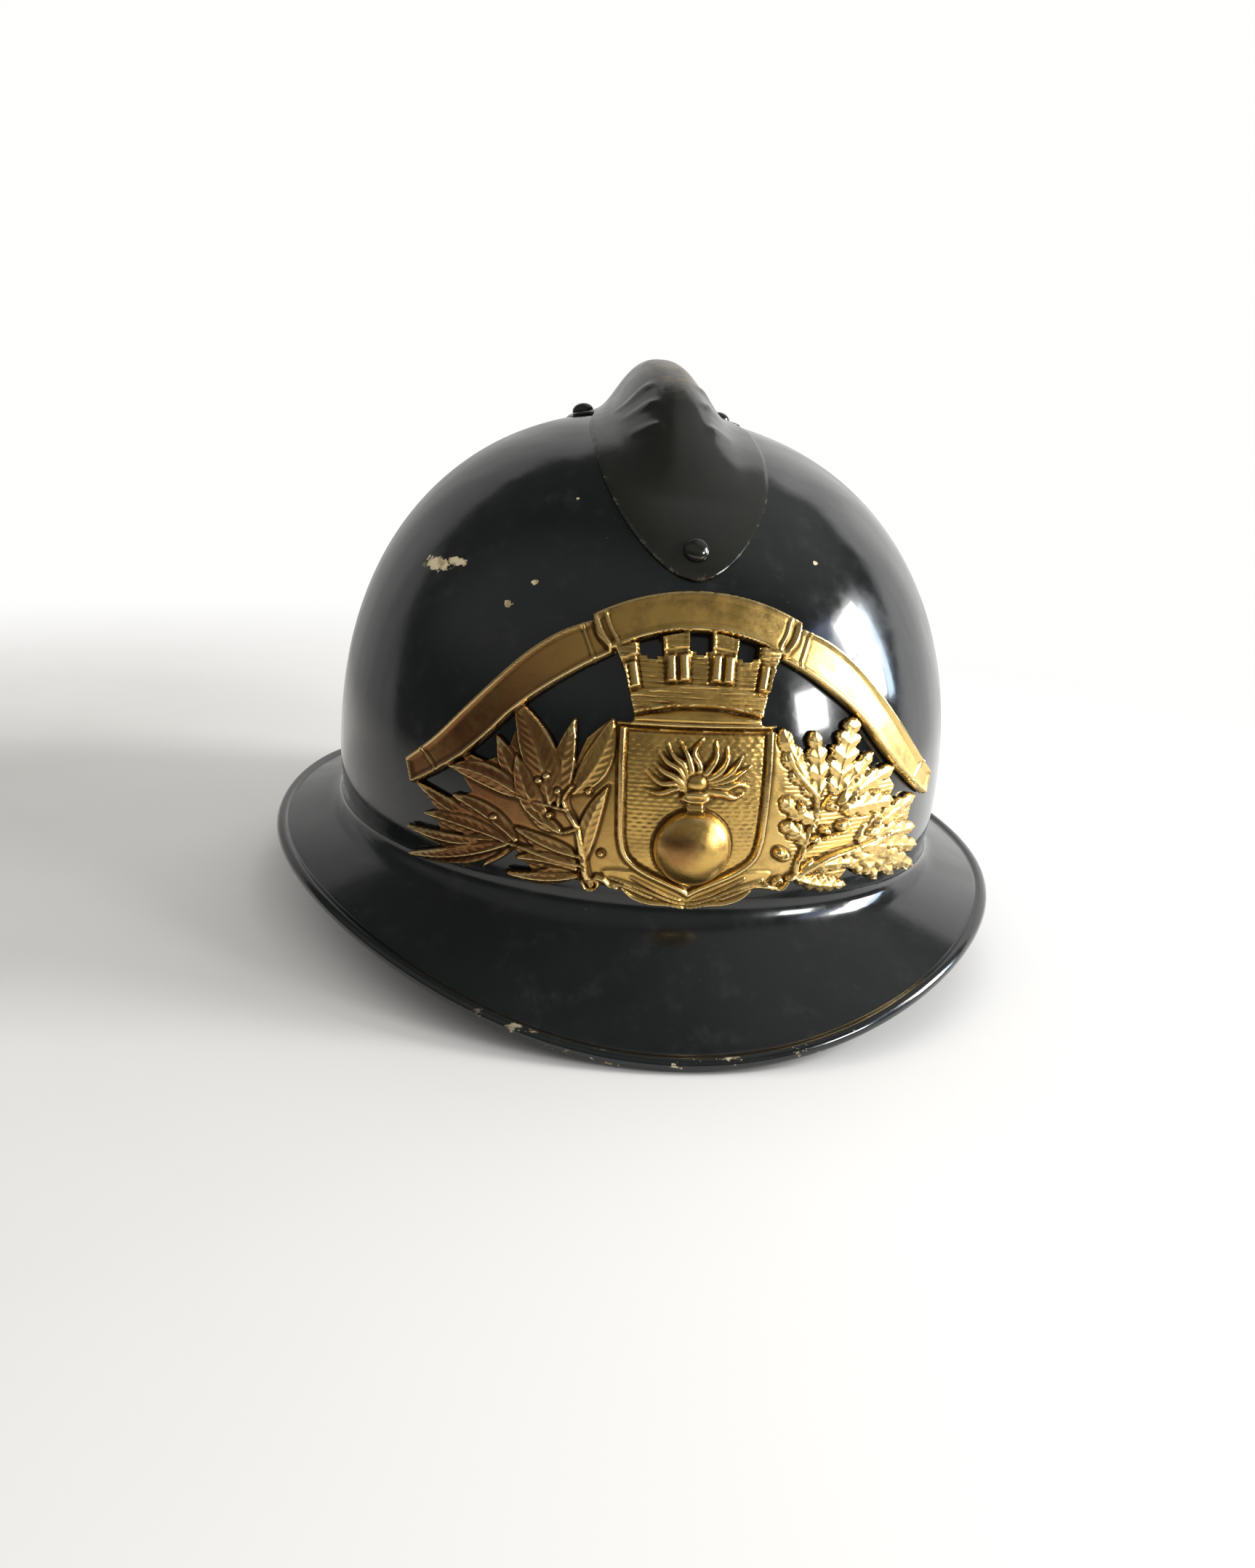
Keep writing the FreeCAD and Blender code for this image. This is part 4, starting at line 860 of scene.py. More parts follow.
def stamp_grenade(r):
    """Flames, the ball, and the collar and rings between them."""
    for line in FLAMES:
        shifted = [(x - FLAMES_LEFT, z) for x, z in line]
        r.stroke(shifted, 1.15, 1.6, level=1.9, own=True, taper=(0.9, 0.12), count=20)
    r.bump(0.2, 36.4, 2.6, 1.7, 1.8, squash=0.9)
    away = np.hypot(r.bx, r.bz - BALL_MIDDLE_Z)
    r.stamp(away - BALL_RADIUS, 1.7 + BALL_RISE * mound(away / BALL_RADIUS), edge=0.5, groove=0.35)
    neck = np.maximum(np.abs(r.bx) - 2.1, np.abs(r.bz - 30.3) - 1.3)
    r.stamp(neck, 3.2, edge=0.8)
    r.bump(0.1, 32.7, 3.7, 1.5, 2.3, squash=0.42)
    r.bump(0.1, 33.5, 3.0, 1.1, 2.6, squash=0.36)


def stamp_stems(r, lines, main, twig):
    """The first line is the main stem; main and twig are (width, rise, level)."""
    for k, line in enumerate(lines):
        width, rise, level = twig if k else main
        r.stroke(line, width, rise, level=level, taper=(1.2, 0.6))


def stamp_branches(r):
    """Laurel on the left and oak on the right, each with a curled end and a tie to the shield."""
    for leaf in LAUREL_LEAVES:
        r.laurel_leaf(*leaf)
    stamp_stems(r, LAUREL_STEMS, (0.75, 0.9, 2.1), (0.45, 0.5, 1.7))
    for x, z in LAUREL_BERRIES:
        r.bump(x, z, 0.85, 0.8, 1.9, own=False)
    for leaf in OAK_LEAVES:
        r.oak_leaf(*leaf)
    stamp_stems(r, OAK_STEMS, (0.7, 0.9, 2.0), (0.5, 0.6, 1.8))
    for x, z, angle, size in ACORNS:
        r.acorn(x, z, angle, size, 1.5)
    for side, x0, z0 in ((-1, -21.4, 8.3), (1, 26.4, 10.4)):
        curl = [(0.5 + 0.27 * k, k * 0.9) for k in range(8)]
        turns = [(x0 + side * out * math.cos(turn), z0 + out * math.sin(turn)) for out, turn in curl]
        r.stroke(turns, 0.55, 0.9, level=1.5, count=40)
    r.stroke(((24.8, 8.9), (22.5, 9.6), (20.5, 9.4), (18.2, 8.6)), 0.9, 0.9, level=1.3)
    r.stroke(((-20.4, 9.9), (-18.5, 9.4), (-17.0, 8.2), (-15.0, 7.8)), 0.8, 0.9, level=1.3)


def blurred(a, times):
    """The grid with each value evened out with its neighbours, this many times."""
    for _ in range(times):
        p = np.pad(a, 1, mode="edge")
        a = (p[:-2, 1:-1] + p[2:, 1:-1] + p[1:-1, :-2] + p[1:-1, 2:] + 2 * p[1:-1, 1:-1]) / 6
    return a


def relief_mesh(r, name):
    """Closed conformal mesh of the relief: grid points near the outline are moved on to it."""
    step = r.step
    d = r.outline
    gz, gx = np.gradient(d, step)
    steep = np.maximum(gx ** 2 + gz ** 2, 0.25)
    keep = d < 0.55 * step
    near = keep & (d > -0.45 * step)
    x = np.where(near, r.x - np.clip(d * gx / steep, -step, step), r.x)
    z = np.where(near, r.z - np.clip(d * gz / steep, -step, step), r.z)
    base, normal = front_frame(x, z)
    # The relief number is above nought on raised parts and below it in hollows. brass() paints it: dark brown
    # in hollows (partly patina, partly painted shade) and pale gold on raised parts (partly rubbed polish,
    # partly a painted highlight).
    low = r.height - blurred(r.height, 6)
    wide = r.height - blurred(r.height, 40)
    hollow = np.clip(low * 1.7 + wide * 0.35, -1, 1)
    rim = np.clip(1 + d / 0.6, 0, 1)
    height = np.maximum(r.height, 0.45) - 0.22 * rim ** 2
    top = base + normal * (BADGE_GAP + height)[..., None]
    under = base + normal * BADGE_GAP
    index = np.full(keep.shape, -1)
    index[keep] = np.arange(keep.sum())
    count = int(keep.sum())
    a, b = index[:-1, :-1], index[:-1, 1:]
    c, e = index[1:, 1:], index[1:, :-1]
    quads = np.stack([a, b, c, e], -1).reshape(-1, 4)
    have = (quads >= 0).sum(1)
    faces = [tuple(int(i) for i in q) for q in quads[have == 4]]
    faces += [tuple(int(i) for i in q if i >= 0) for q in quads[have == 3]]
    edges = dict.fromkeys((p, q) for f in faces for p, q in zip(f, f[1:] + f[:1]))
    walls = [(q, p, count + p, count + q) for p, q in edges if (q, p) not in edges]
    back = [tuple(count + i for i in reversed(f)) for f in faces]
    points = np.concatenate([top[keep], under[keep]])
    obj = make_object(name, points, faces + back + walls)
    # The back gets a deep hollow's number, so it is painted dark: partly patina, partly painted shade.
    paint(obj, "relief", np.concatenate([hollow[keep], np.full(count, -0.8)]))
    sharpen(obj, 62)
    return obj


def make_badge():
    """The whole relief, stamped from the ground up, as one mesh."""
    r = Relief(76.0, 1.5, 83.5, BADGE_STEP)
    stamp_ground(r)
    stamp_branches(r)
    for side in (-1, 1):
        stamp_ribbon(r, side)
    stamp_crown(r)
    stamp_banner(r)
    stamp_shield(r)
    stamp_grenade(r)
    r.height = blurred(r.height, 1)
    return relief_mesh(r, "badge_pressed")


# ---------------------------------------------------------------- liner

HEAD_HALF_WIDTH = 80.5
HEAD_HALF_LENGTH = 100.0
LEATHER = 1.8
FELT = 2.0
LAYER_GAP = 0.15
LINER_BOTTOM = 25.0
LINER_TOP = 54.0
TONGUES = 7
TONGUE_FOOT = LINER_BOTTOM + 8
TONGUE_TIP_HEIGHT = 122.0
TONGUE_TIP_RADIUS = 24.0
TONGUE_THICKNESS = 1.5
TONGUE_HALF_TURN = math.radians(180.0 / TONGUES - 2.5)
LACE_RING = TONGUE_TIP_RADIUS + 4
LACE_HALF_GAP = 3.2                  # from a tongue's middle to each of its two lace holes
LACE_HOLE = 1.35
LACE_RADIUS = 0.85
LACE_TWIST = 1.7
LACE_STRANDS = 3
STITCH_LENGTH = 2.9
STITCH_RADIUS = 0.42


def oval_band(name, grow, thickness, bottom, top, seed, wave):
    """Upright oval strip with rounded edges and a slightly uneven upper edge."""
    turn = np.linspace(0, 2 * math.pi, 240, endpoint=False)
    half_turn = [math.pi * k / 6 for k in range(7)]
    # depth through the strip, height up it, and the share of the rounding at its edges
    profile = [(0.5 + 0.5 * math.cos(a), 1, math.sin(a)) for a in half_turn]
    profile += [(0, v, 0) for v in np.linspace(0.93, 0.07, 9)]
    profile += [(0.5 - 0.5 * math.cos(a), 0, -math.sin(a)) for a in half_turn]
    profile += [(1, v, 0) for v in np.linspace(0.07, 0.93, 9)]
    rings = []
    lift = wave * wobble(90 * np.cos(turn), 90 * np.sin(turn), 0 * turn, seed, 70.0)
    for depth, v, round_off in profile:
        r = grow + thickness * depth
        z = bottom + (top - bottom) * v + round_off * thickness / 2 - thickness / 2 * (2 * v - 1) + lift * v
        ease = 0.12 * wobble(90 * np.cos(turn), 90 * np.sin(turn), z, seed + 1, 24.0)
        a, b = HEAD_HALF_WIDTH + r + ease, HEAD_HALF_LENGTH + r + ease
        rings.append(stack(a * np.cos(turn), b * np.sin(turn), z))
    return closed_loop(name, rings)


def tongue_point(middle, rise, across, lift):
    """Point of the tongue at this turn: rise 0 is its foot and 1 its tip, lift is through the leather."""
    q = rise * math.pi / 2
    inset = TONGUE_THICKNESS + LAYER_GAP
    a_foot, b_foot = HEAD_HALF_WIDTH - inset + lift, HEAD_HALF_LENGTH - inset + lift
    pull = (1 - np.cos(q)) ** 0.9
    a = a_foot + (TONGUE_TIP_RADIUS - a_foot) * pull
    b = b_foot + (TONGUE_TIP_RADIUS - b_foot) * pull
    round_tip = np.sqrt(np.clip(1 - (np.maximum(rise - 0.93, 0) / 0.0705) ** 2, 0, 1))
    half = TONGUE_HALF_TURN * (1 - 0.12 * rise) * (1 - 0.35 * rise ** 3) * round_tip
    t = middle + across * half
    z = TONGUE_FOOT + (TONGUE_TIP_HEIGHT - TONGUE_FOOT) * np.sin(q) ** 0.92 + lift * rise
    return stack(a * np.cos(t), b * np.sin(t), z)


def tongue_middle(index):
    return -math.pi / 2 + 2 * math.pi * index / TONGUES


def make_tongue(index):
    """Leather tongue of the liner, from its sewn foot to its rounded, laced tip."""
    middle = tongue_middle(index)
    rise = np.concatenate([np.linspace(0, 0.92, 40), 0.93 + 0.07 * np.sin(np.linspace(0, math.pi / 2, 12))])
    across = np.sin(np.linspace(-math.pi / 2, math.pi / 2, 25)) * 0.5 + np.linspace(-0.5, 0.5, 25)
    r, c = np.meshgrid(rise, across, indexing="ij")
    edge = np.clip((1 - np.abs(c)) / 0.05, 0, 1) * np.clip((1 - r) / 0.012, 0, 1) * np.clip(r / 0.02, 0, 1)
    thin = 0.42 * (1 - np.sqrt(edge))
    base = tongue_point(middle, r, c, 0.0)
    ease = 0.35 * wobble(base[..., 0], base[..., 1], base[..., 2], 40 + index, 42.0) * np.clip(r * 4, 0, 1)
    ease = np.minimum(ease * np.clip((1.02 - r) * 5, 0, 1), 0)
    top = tongue_point(middle, r, c, TONGUE_THICKNESS * (1 - thin) + ease)
    bottom = tongue_point(middle, r, c, TONGUE_THICKNESS * thin + ease)
    tongue = thick_sheet("tongue_leather_%d" % (index + 1), top, bottom)
    for side in (-1, 1):
        t = middle + side * LACE_HALF_GAP / LACE_RING
        hole = (LACE_RING * math.cos(t), LACE_RING * math.sin(t), TONGUE_TIP_HEIGHT)
        punch(tongue, hole, (0, 0, 1), LACE_HOLE)
    return tongue


def punch(obj, centre, axis, radius, length=12.0):
    """Cuts a round hole through the piece."""
    pin = lathe("punch", ((0, length / 2), (radius, length / 2), (radius, -length / 2), (0, -length / 2)),
                centre, axis, 20)
    pin.data.polygons.foreach_set("use_smooth", [False] * len(pin.data.polygons))
    cut = obj.modifiers.new("hole", "BOOLEAN")
    cut.object = pin
    cut.operation = "DIFFERENCE"
    cut.solver = "EXACT"
    apply_modifiers(obj)
    bpy.data.objects.remove(pin)


def apply_modifiers(obj):
    graph = bpy.context.evaluated_depsgraph_get()
    mesh = bpy.data.meshes.new_from_object(obj.evaluated_get(graph))
    obj.modifiers.clear()
    old = obj.data
    obj.data = mesh
    bpy.data.meshes.remove(old)


def tube(name, path, radius, closed=False, sides=14, twist=0.0, strands=0):
    """Round cord along the points; strands gives it the lobes of twisted yarn."""
    p = np.asarray(path, float)
    ahead = np.roll(p, -1, 0) if closed else np.concatenate([p[1:], p[-1:]])
    behind = np.roll(p, 1, 0) if closed else np.concatenate([p[:1], p[:-1]])
    tangent = ahead - behind
    tangent /= np.linalg.norm(tangent, axis=1, keepdims=True)
    length = np.concatenate([[0], np.cumsum(np.linalg.norm(np.diff(p, axis=0), axis=1))])
    up = np.array([0.001, 0.001, 1.001])     # never quite along an upright cord
    side = np.cross(tangent, up)
    side /= np.linalg.norm(side, axis=1, keepdims=True)
    over = np.cross(side, tangent)
    turn = np.linspace(0, 2 * math.pi, sides, endpoint=False)
    rings = []
    for i in range(len(p)):
        lobes = 1 + (0.13 * np.cos(strands * turn - twist * length[i]) if strands else 0)
        r = radius * lobes * np.ones(sides)
        rings.append(p[i] + (r * np.cos(turn))[:, None] * side[i] + (r * np.sin(turn))[:, None] * over[i])
    if not closed:
        end = radius * 0.5
        return ring_stack(name, rings, (p[0] - tangent[0] * end, p[-1] + tangent[-1] * end), flip=True)
    return closed_loop(name, rings, flip=True)


def make_lace():
    """Cotton lace through the tongues' tips: over each tongue between its holes and under in between."""
    turn = np.linspace(0, 2 * math.pi, 420, endpoint=False)
    place = TONGUES * (turn - tongue_middle(0))
    over = np.cos(place) - math.cos(TONGUES * LACE_HALF_GAP / LACE_RING)
    height = TONGUE_TIP_HEIGHT + 0.9 + 1.9 * np.tanh(4.0 * over)
    ring = stack(LACE_RING * np.cos(turn), LACE_RING * np.sin(turn), height)
    return tube("lace_ring", ring, LACE_RADIUS, closed=True, twist=LACE_TWIST, strands=LACE_STRANDS)


def make_lace_knot():
    """Knot under the ring, between two tongues, and the lace's two loose ends."""
    t = tongue_middle(0) + math.pi / TONGUES
    c, s = math.cos(t), math.sin(t)
    low = TONGUE_TIP_HEIGHT - 1.0
    turn = np.linspace(0, 2 * math.pi, 40, endpoint=False)
    r = 1.15 + 0.7 * np.cos(3 * turn)
    knot = stack(LACE_RING * c + r * np.cos(2 * turn) * 1.2, LACE_RING * s + r * np.sin(2 * turn) * 1.2,
                 low + 1.2 * np.sin(3 * turn))
    thin = LACE_RADIUS - 0.05
    pieces = [tube("lace_knot", knot, thin, closed=True, twist=LACE_TWIST, strands=LACE_STRANDS)]
    for name, side, length in (("lace_end_long", -1, 19.0), ("lace_end_short", 1, 15.0)):
        inward = np.array([(0, 0), (2.5, 1.2), (4.6, 2.6), (5.6, 3.6)])
        drop = np.array([0.0, -1.6, -0.55 * length, -length])
        path = [(LACE_RING * c - i * c - side * j * s, LACE_RING * s - i * s + side * j * c, low + d)
                for (i, j), d in zip(inward, drop)]
        pieces.append(tube(name, spline(path, 40), thin, twist=LACE_TWIST, strands=LACE_STRANDS))
    return pieces


def capsules(name, centres, directions, normals, length, radius):
    """Stitches: small rounded dashes, each along its direction and half sunk along its normal."""
    rows, sides = 7, 8
    points, faces = [], []
    for c, d, n in zip(np.asarray(centres), np.asarray(directions), np.asarray(normals)):
        d = d / np.linalg.norm(d)
        n = n / np.linalg.norm(n)
        b = np.cross(d, n)
        first = len(points)
        for i in range(rows):
            a = math.pi * (i + 0.5) / rows
            along = -math.cos(a) * length / 2
            r = radius * math.sin(a) ** 0.5
            for j in range(sides):
                w = 2 * math.pi * j / sides
                points.append(c + d * along + b * r * math.cos(w) + n * r * math.sin(w))
        faces += grid_faces(rows, sides, wrap=True, start=first)
        faces.append(tuple(first + j for j in range(sides)))
        faces.append(tuple(first + (rows - 1) * sides + j for j in reversed(range(sides))))
    return make_object(name, points, faces)


def make_liner_stitching():
    """Three rows: two sew the tongues' feet to the band, and one is the band's lower hem."""
    centres, directions, normals = [], [], []
    inner = -LAYER_GAP - TONGUE_THICKNESS
    rows = (
        (inner, TONGUE_FOOT + 3.5, True), (inner, TONGUE_FOOT + 7.0, True), (0.0, LINER_BOTTOM + 3.0, False))
    count = 150
    share = math.pi / TONGUES
    for grow, z, on_tongues in rows:
        a, b = HEAD_HALF_WIDTH + grow, HEAD_HALF_LENGTH + grow
        lean = 0.35 if on_tongues else 0.0
        shrink = (z - TONGUE_FOOT) * 0.012 if on_tongues else 0.0
        for k in range(count):
            t = 2 * math.pi * k / count
            off = (t - tongue_middle(0) + share) % (2 * share) - share
            if on_tongues and abs(off) > TONGUE_HALF_TURN * 0.95:
                continue
            uneven = lean * math.sin(k * 2.4)
            centres.append(((a - shrink) * math.cos(t), (b - shrink) * math.sin(t), z + uneven))
            directions.append((-a * math.sin(t), b * math.cos(t), lean))
            normals.append((-b * math.cos(t), -a * math.sin(t), 0.0))
    return capsules("liner_stitching", centres, directions, normals, STITCH_LENGTH, STITCH_RADIUS)


# ---------------------------------------------------------------- chin strap

PIVOT_Y = 5.0
PIVOT_Z = 36.0
STRAP_WIDTH = 14.0
STRAP_THICKNESS = 2.2
STRAP_REACH = 110.0
STRAP_HALF_RUN = 28.0
STRAIGHT_FROM = 23.0
STRAP_TILT = math.radians(13.4)
STRAP_LINE = (
    (84.5, 36.0), (76.5, 56.0), (63.5, 77.0), (49.0, 95.2), (39.5, 104.0), (33.0, 108.3),
    (STRAP_HALF_RUN, 109.8), (STRAIGHT_FROM, STRAP_REACH))
HANGER_BAR = (88.0, 15.8)            # x and reach of the bar that the strap's end is folded round
FOLD_RADIUS = 2.7
TAIL_THICKNESS = 1.7
TAIL_GAP = 0.12
TAIL_TIP = 9.0
TAIL_FIRST_HOLE = -19.0
TAIL_HOLE_PITCH = 7.5
TAIL_HOLE = 1.1
STITCH_PITCH = 4.1
STITCH_INSET = 5.1                   # of the two rows from the middle of the strap


def along_strap(x, reach, across=0.0):
    """Point of the strap's plane this far from the pivots, and this far to one edge of the strap."""
    c, s = math.cos(STRAP_TILT), math.sin(STRAP_TILT)
    return stack(x, PIVOT_Y + reach * c + across * s, PIVOT_Z - reach * s + across * c)


def strap_half_path():
    """Middle of the leather in the strap's plane, from the folded end round the bar to the middle."""
    bar_x, bar_r = HANGER_BAR
    fold = [(86.4, 38.0), (87.2, 33.0), (88.6, 26.0), (90.4, 20.0)]
    for degrees in (10, -20, -55, -90, -125, -160, -190):
        a = math.radians(degrees)
        fold.append((bar_x + FOLD_RADIUS * math.cos(a), bar_r + FOLD_RADIUS * math.sin(a)))
    down = [(85.2, 21.0), (84.9, 28.0)] + list(STRAP_LINE)
    dense = spline(fold + down, 150)
    run = [(x, STRAP_REACH) for x in np.linspace(STRAIGHT_FROM, 0, 16)[1:]]
    return np.concatenate([dense, run])


def ribbon(name, path, half_width, thickness):
    """Leather strip with rounded edges along a path in the strap's plane."""
    p = np.asarray(path, float)
    tangent = np.gradient(p, axis=0)
    tangent /= np.linalg.norm(tangent, axis=1, keepdims=True)
    normal = np.stack([-tangent[:, 1], tangent[:, 0]], 1)
    half_width = np.broadcast_to(half_width, len(p))
    thickness = np.broadcast_to(thickness, len(p))
    rings = []
    for i in range(len(p)):
        ring = []
        h, w = thickness[i] / 2, half_width[i]
        for a in np.linspace(0, 2 * math.pi, 28, endpoint=False):
            c, s = math.cos(a), math.sin(a)
            u = math.copysign(abs(c) ** 0.22, c) * w
            v = math.copysign(abs(s) ** 0.55, s) * h
            x, r = p[i] + normal[i] * v
            ring.append(along_strap(x, r, u))
        rings.append(np.array(ring))
    return ring_stack(name, rings, (along_strap(*p[0]), along_strap(*p[-1])))


SKIVED = 1.5                         # thickness of the folded ends


def make_chin_strap():
    """The whole strap, thinner and a little narrower at its folded ends."""
    half = strap_half_path()
    path = np.concatenate([half, half[-2::-1] * (-1, 1)])
    step = np.concatenate([[0], np.cumsum(np.linalg.norm(np.diff(path, axis=0), axis=1))])
    total = step[-1]
    from_end = np.minimum(step, total - step)
    skived = np.clip((from_end - 20) / 25, 0, 1)
    thickness = SKIVED + (STRAP_THICKNESS - SKIVED) * skived
    width = STRAP_WIDTH / 2 - 0.25 - 0.15 * np.sin(step / 23.0)
    width = width * np.clip(0.86 + from_end / 12, 0, 1)
    return ribbon("chin_strap_leather", path, width, thickness)


def make_strap_tail():
    """Free end outside the straight run, with a rounded tip and a row of holes."""
    x = np.linspace(STRAP_HALF_RUN, -STRAP_HALF_RUN + 3, 70)
    middle = STRAP_REACH + STRAP_THICKNESS / 2 + TAIL_GAP + TAIL_THICKNESS / 2
    path = np.stack([x, np.full(len(x), middle)], 1)
    tip = np.clip((x - x[-1]) / TAIL_TIP, 0, 1)
    width = (STRAP_WIDTH / 2 - 0.6) * np.maximum(np.sin(tip * math.pi / 2) ** 0.7, 0.08)
    tail = ribbon("chin_strap_tail_leather", path, width, TAIL_THICKNESS)
    axis = along_strap(0, 1) - along_strap(0, 0)
    for k in range(4):
        place = along_strap(TAIL_FIRST_HOLE + TAIL_HOLE_PITCH * k, middle)
        punch(tail, place, axis, TAIL_HOLE, 6.0)
    return tail


def make_strap_stitching():
    """Rows along both edges of the strap, and across its folded ends."""
    line = strap_half_path()[60:]    # from under the bar on
    step = np.concatenate([[0], np.cumsum(np.linalg.norm(np.diff(line, axis=0), axis=1))])
    places = np.arange(1.5, step[-1] - 1.0, STITCH_PITCH)
    here, ahead = [
        np.stack([np.interp(places + more, step, line[:, k]) for k in (0, 1)], 1) for more in (0.0, 0.5)]
    rows = [(q, d / np.linalg.norm(d)) for q, d in zip(here, ahead - here)]
    rows = [(q, d) for q, d in rows if abs(q[0]) >= STRAP_HALF_RUN + 1.5]
    centres, directions, normals = [], [], []
    origin = along_strap(0, 0)
    for sign in (1, -1):
        for across in (-STITCH_INSET, STITCH_INSET):
            for q, d in rows:
                n = np.array([-d[1], d[0]])
                q = q + n * (STRAP_THICKNESS / 2 - 0.12)
                centres.append(along_strap(sign * q[0], q[1], across))
                directions.append(along_strap(sign * d[0], d[1]) - origin)
                normals.append(along_strap(sign * n[0], n[1]) - origin)
        for x, r in ((88.9, 28.0), (87.9, 33.5)):
            for across in np.linspace(-4.6, 4.6, 4):
                centres.append(along_strap(sign * x, r, across))
                directions.append(along_strap(0, 0, 1) - origin)
                normals.append(along_strap(sign, 0.2) - origin)
    return capsules("strap_stitching", centres, directions, normals, 2.6, 0.4)


def rounded_copy(node, name, width, degrees=35.0):
    """The CAD node's shape again, with its corners rounded off."""
    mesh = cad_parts[node].data.copy()
    work = bmesh.new()
    work.from_mesh(mesh)
    bmesh.ops.remove_doubles(work, verts=work.verts, dist=2e-6)
    bmesh.ops.dissolve_limit(work, angle_limit=math.radians(2.0), verts=work.verts, edges=work.edges)
    work.to_mesh(mesh)
    work.free()
    mesh.materials.clear()
    obj = bpy.data.objects.new(name, mesh)
    bpy.context.collection.objects.link(obj)
    bevel = obj.modifiers.new("bevel", "BEVEL")
    bevel.width = width * MM
    bevel.segments = 3
    bevel.limit_method = "ANGLE"
    bevel.angle_limit = math.radians(degrees)
    apply_modifiers(obj)
    obj.data.polygons.foreach_set("use_smooth", [True] * len(obj.data.polygons))
    sharpen(obj, 50)
    return obj


# ---------------------------------------------------------------- materials

class Nodes:
    """A node tree, with short names for the nodes that materials and the room are made of."""

    def __init__(self, tree):
        self.tree = tree

    def put(self, kind, inputs=None, **settings):
        node = self.tree.nodes.new(kind)
        for key, value in settings.items():
            setattr(node, key, value)
        for key, value in (inputs or {}).items():
            self.give(node.inputs[key], value)
        return node

    def give(self, socket, value):
        if isinstance(value, bpy.types.NodeSocket):
            self.tree.links.new(value, socket)
        elif socket.type == "RGBA" and len(value) == 3:
            socket.default_value = (*value, 1.0)
        else:
            socket.default_value = value

    def sum(self, operation, a, b=0.0):
        return self.put("ShaderNodeMath", {0: a, 1: b}, operation=operation).outputs[0]

    def plus(self, a, b):
        return self.sum("ADD", a, b)

    def times(self, a, b):
        return self.sum("MULTIPLY", a, b)

    def rest(self, a):
        """What is left of 1."""
        return self.sum("SUBTRACT", 1.0, a)

    def vector(self, operation, a, b, output="Vector"):
        return self.put("ShaderNodeVectorMath", {0: a, 1: b}, operation=operation).outputs[output]

    def length(self, a):
        return self.put("ShaderNodeVectorMath", {0: a}, operation="LENGTH").outputs["Value"]

    def step(self, value, low, high, to_low=0.0, to_high=1.0):
        values = {"Value": value, "From Min": low, "From Max": high, "To Min": to_low, "To Max": to_high}
        return self.put("ShaderNodeMapRange", values, interpolation_type="SMOOTHSTEP").outputs["Result"]


class Shade(Nodes):
    """One procedural material."""

    NAMES = {"colour": "Base Color", "rough": "Roughness", "metal": "Metallic", "normal": "Normal",
             "coat": "Coat Weight", "coat_rough": "Coat Roughness", "gloss": "Specular IOR Level",
             "sheen": "Sheen Weight", "sheen_rough": "Sheen Roughness"}

    def __init__(self, name):
        self.material = bpy.data.materials.new(name)
        self.material.use_nodes = True
        super().__init__(self.material.node_tree)
        self.surface = self.tree.nodes["Principled BSDF"]
        self.place = self.put("ShaderNodeTexCoord").outputs["Object"]
        self.x, self.y, self.z = self.put("ShaderNodeSeparateXYZ", {0: self.place}).outputs

    def finish(self, **inputs):
        for key, value in inputs.items():
            self.give(self.surface.inputs[self.NAMES[key]], value)
        return self.material

    def noise(self, size, detail=3.0, rough=0.5, stretch=(1, 1, 1), warp=0.0):
        """Noise whose lumps are about this many millimetres across."""
        place = self.place
        if stretch != (1, 1, 1):
            place = self.vector("MULTIPLY", place, stretch)
        values = {"Vector": place, "Scale": 1 / (size * MM), "Detail": detail, "Roughness": rough,
                  "Distortion": warp}
        return self.put("ShaderNodeTexNoise", values).outputs["Fac"]

    def cells(self, size):
        """Distance to the edges of cells about this many millimetres across."""
        values = {"Vector": self.place, "Scale": 1 / (size * MM)}
        return self.put("ShaderNodeTexVoronoi", values, feature="DISTANCE_TO_EDGE").outputs["Distance"]

    def mix(self, share, a, b):
        return self.put("ShaderNodeMix", {0: share, 6: a, 7: b}, data_type="RGBA").outputs[2]

    def painted(self, name):
        return self.put("ShaderNodeAttribute", attribute_name=name).outputs["Fac"]

    def bump(self, height, depth, normal=None):
        """Bump whose full height is this many millimetres."""
        inputs = {"Height": height, "Distance": depth * MM, "Strength": 1.0}
        if normal is not None:
            inputs["Normal"] = normal
        return self.put("ShaderNodeBump", inputs).outputs["Normal"]

    def spot(self, centre, reach, ragged=0.5, full=0.86):
        """A ragged patch: 0 past its reach from this place, 1 within the full share of it (millimetres)."""
        away = self.vector("SUBTRACT", self.place, [c * MM for c in centre])
        far = self.length(self.vector("MULTIPLY", away, [1 / (r * MM) for r in reach]))
        tear = self.sum("SUBTRACT", self.noise(1.6, 4.0, 0.7), 0.5)
        return self.step(self.plus(far, self.times(tear, ragged * 4)), 1.0, full)


CHIPS = (                            # x, height above the brim line, half-length, half-height
    (-66.5, 80.0, 6.2, 2.0), (-61.0, 81.6, 4.4, 1.1), (-47.0, 74.0, 1.3, 1.1), (-40.5, 80.0, 1.1, 0.7),
    (33.5, 90.0, 0.9, 0.7), (-30.0, 101.0, 0.5, 0.5), (58.0, 52.0, 0.6, 0.6), (-20.0, 66.0, 0.4, 0.4))
PRIMER = (0.50, 0.43, 0.27)


def front_place(x, height):
    """The point of the dome's front as three plain numbers."""
    return [float(c) for c in front_frame(np.array(x), np.array(height))[0]]


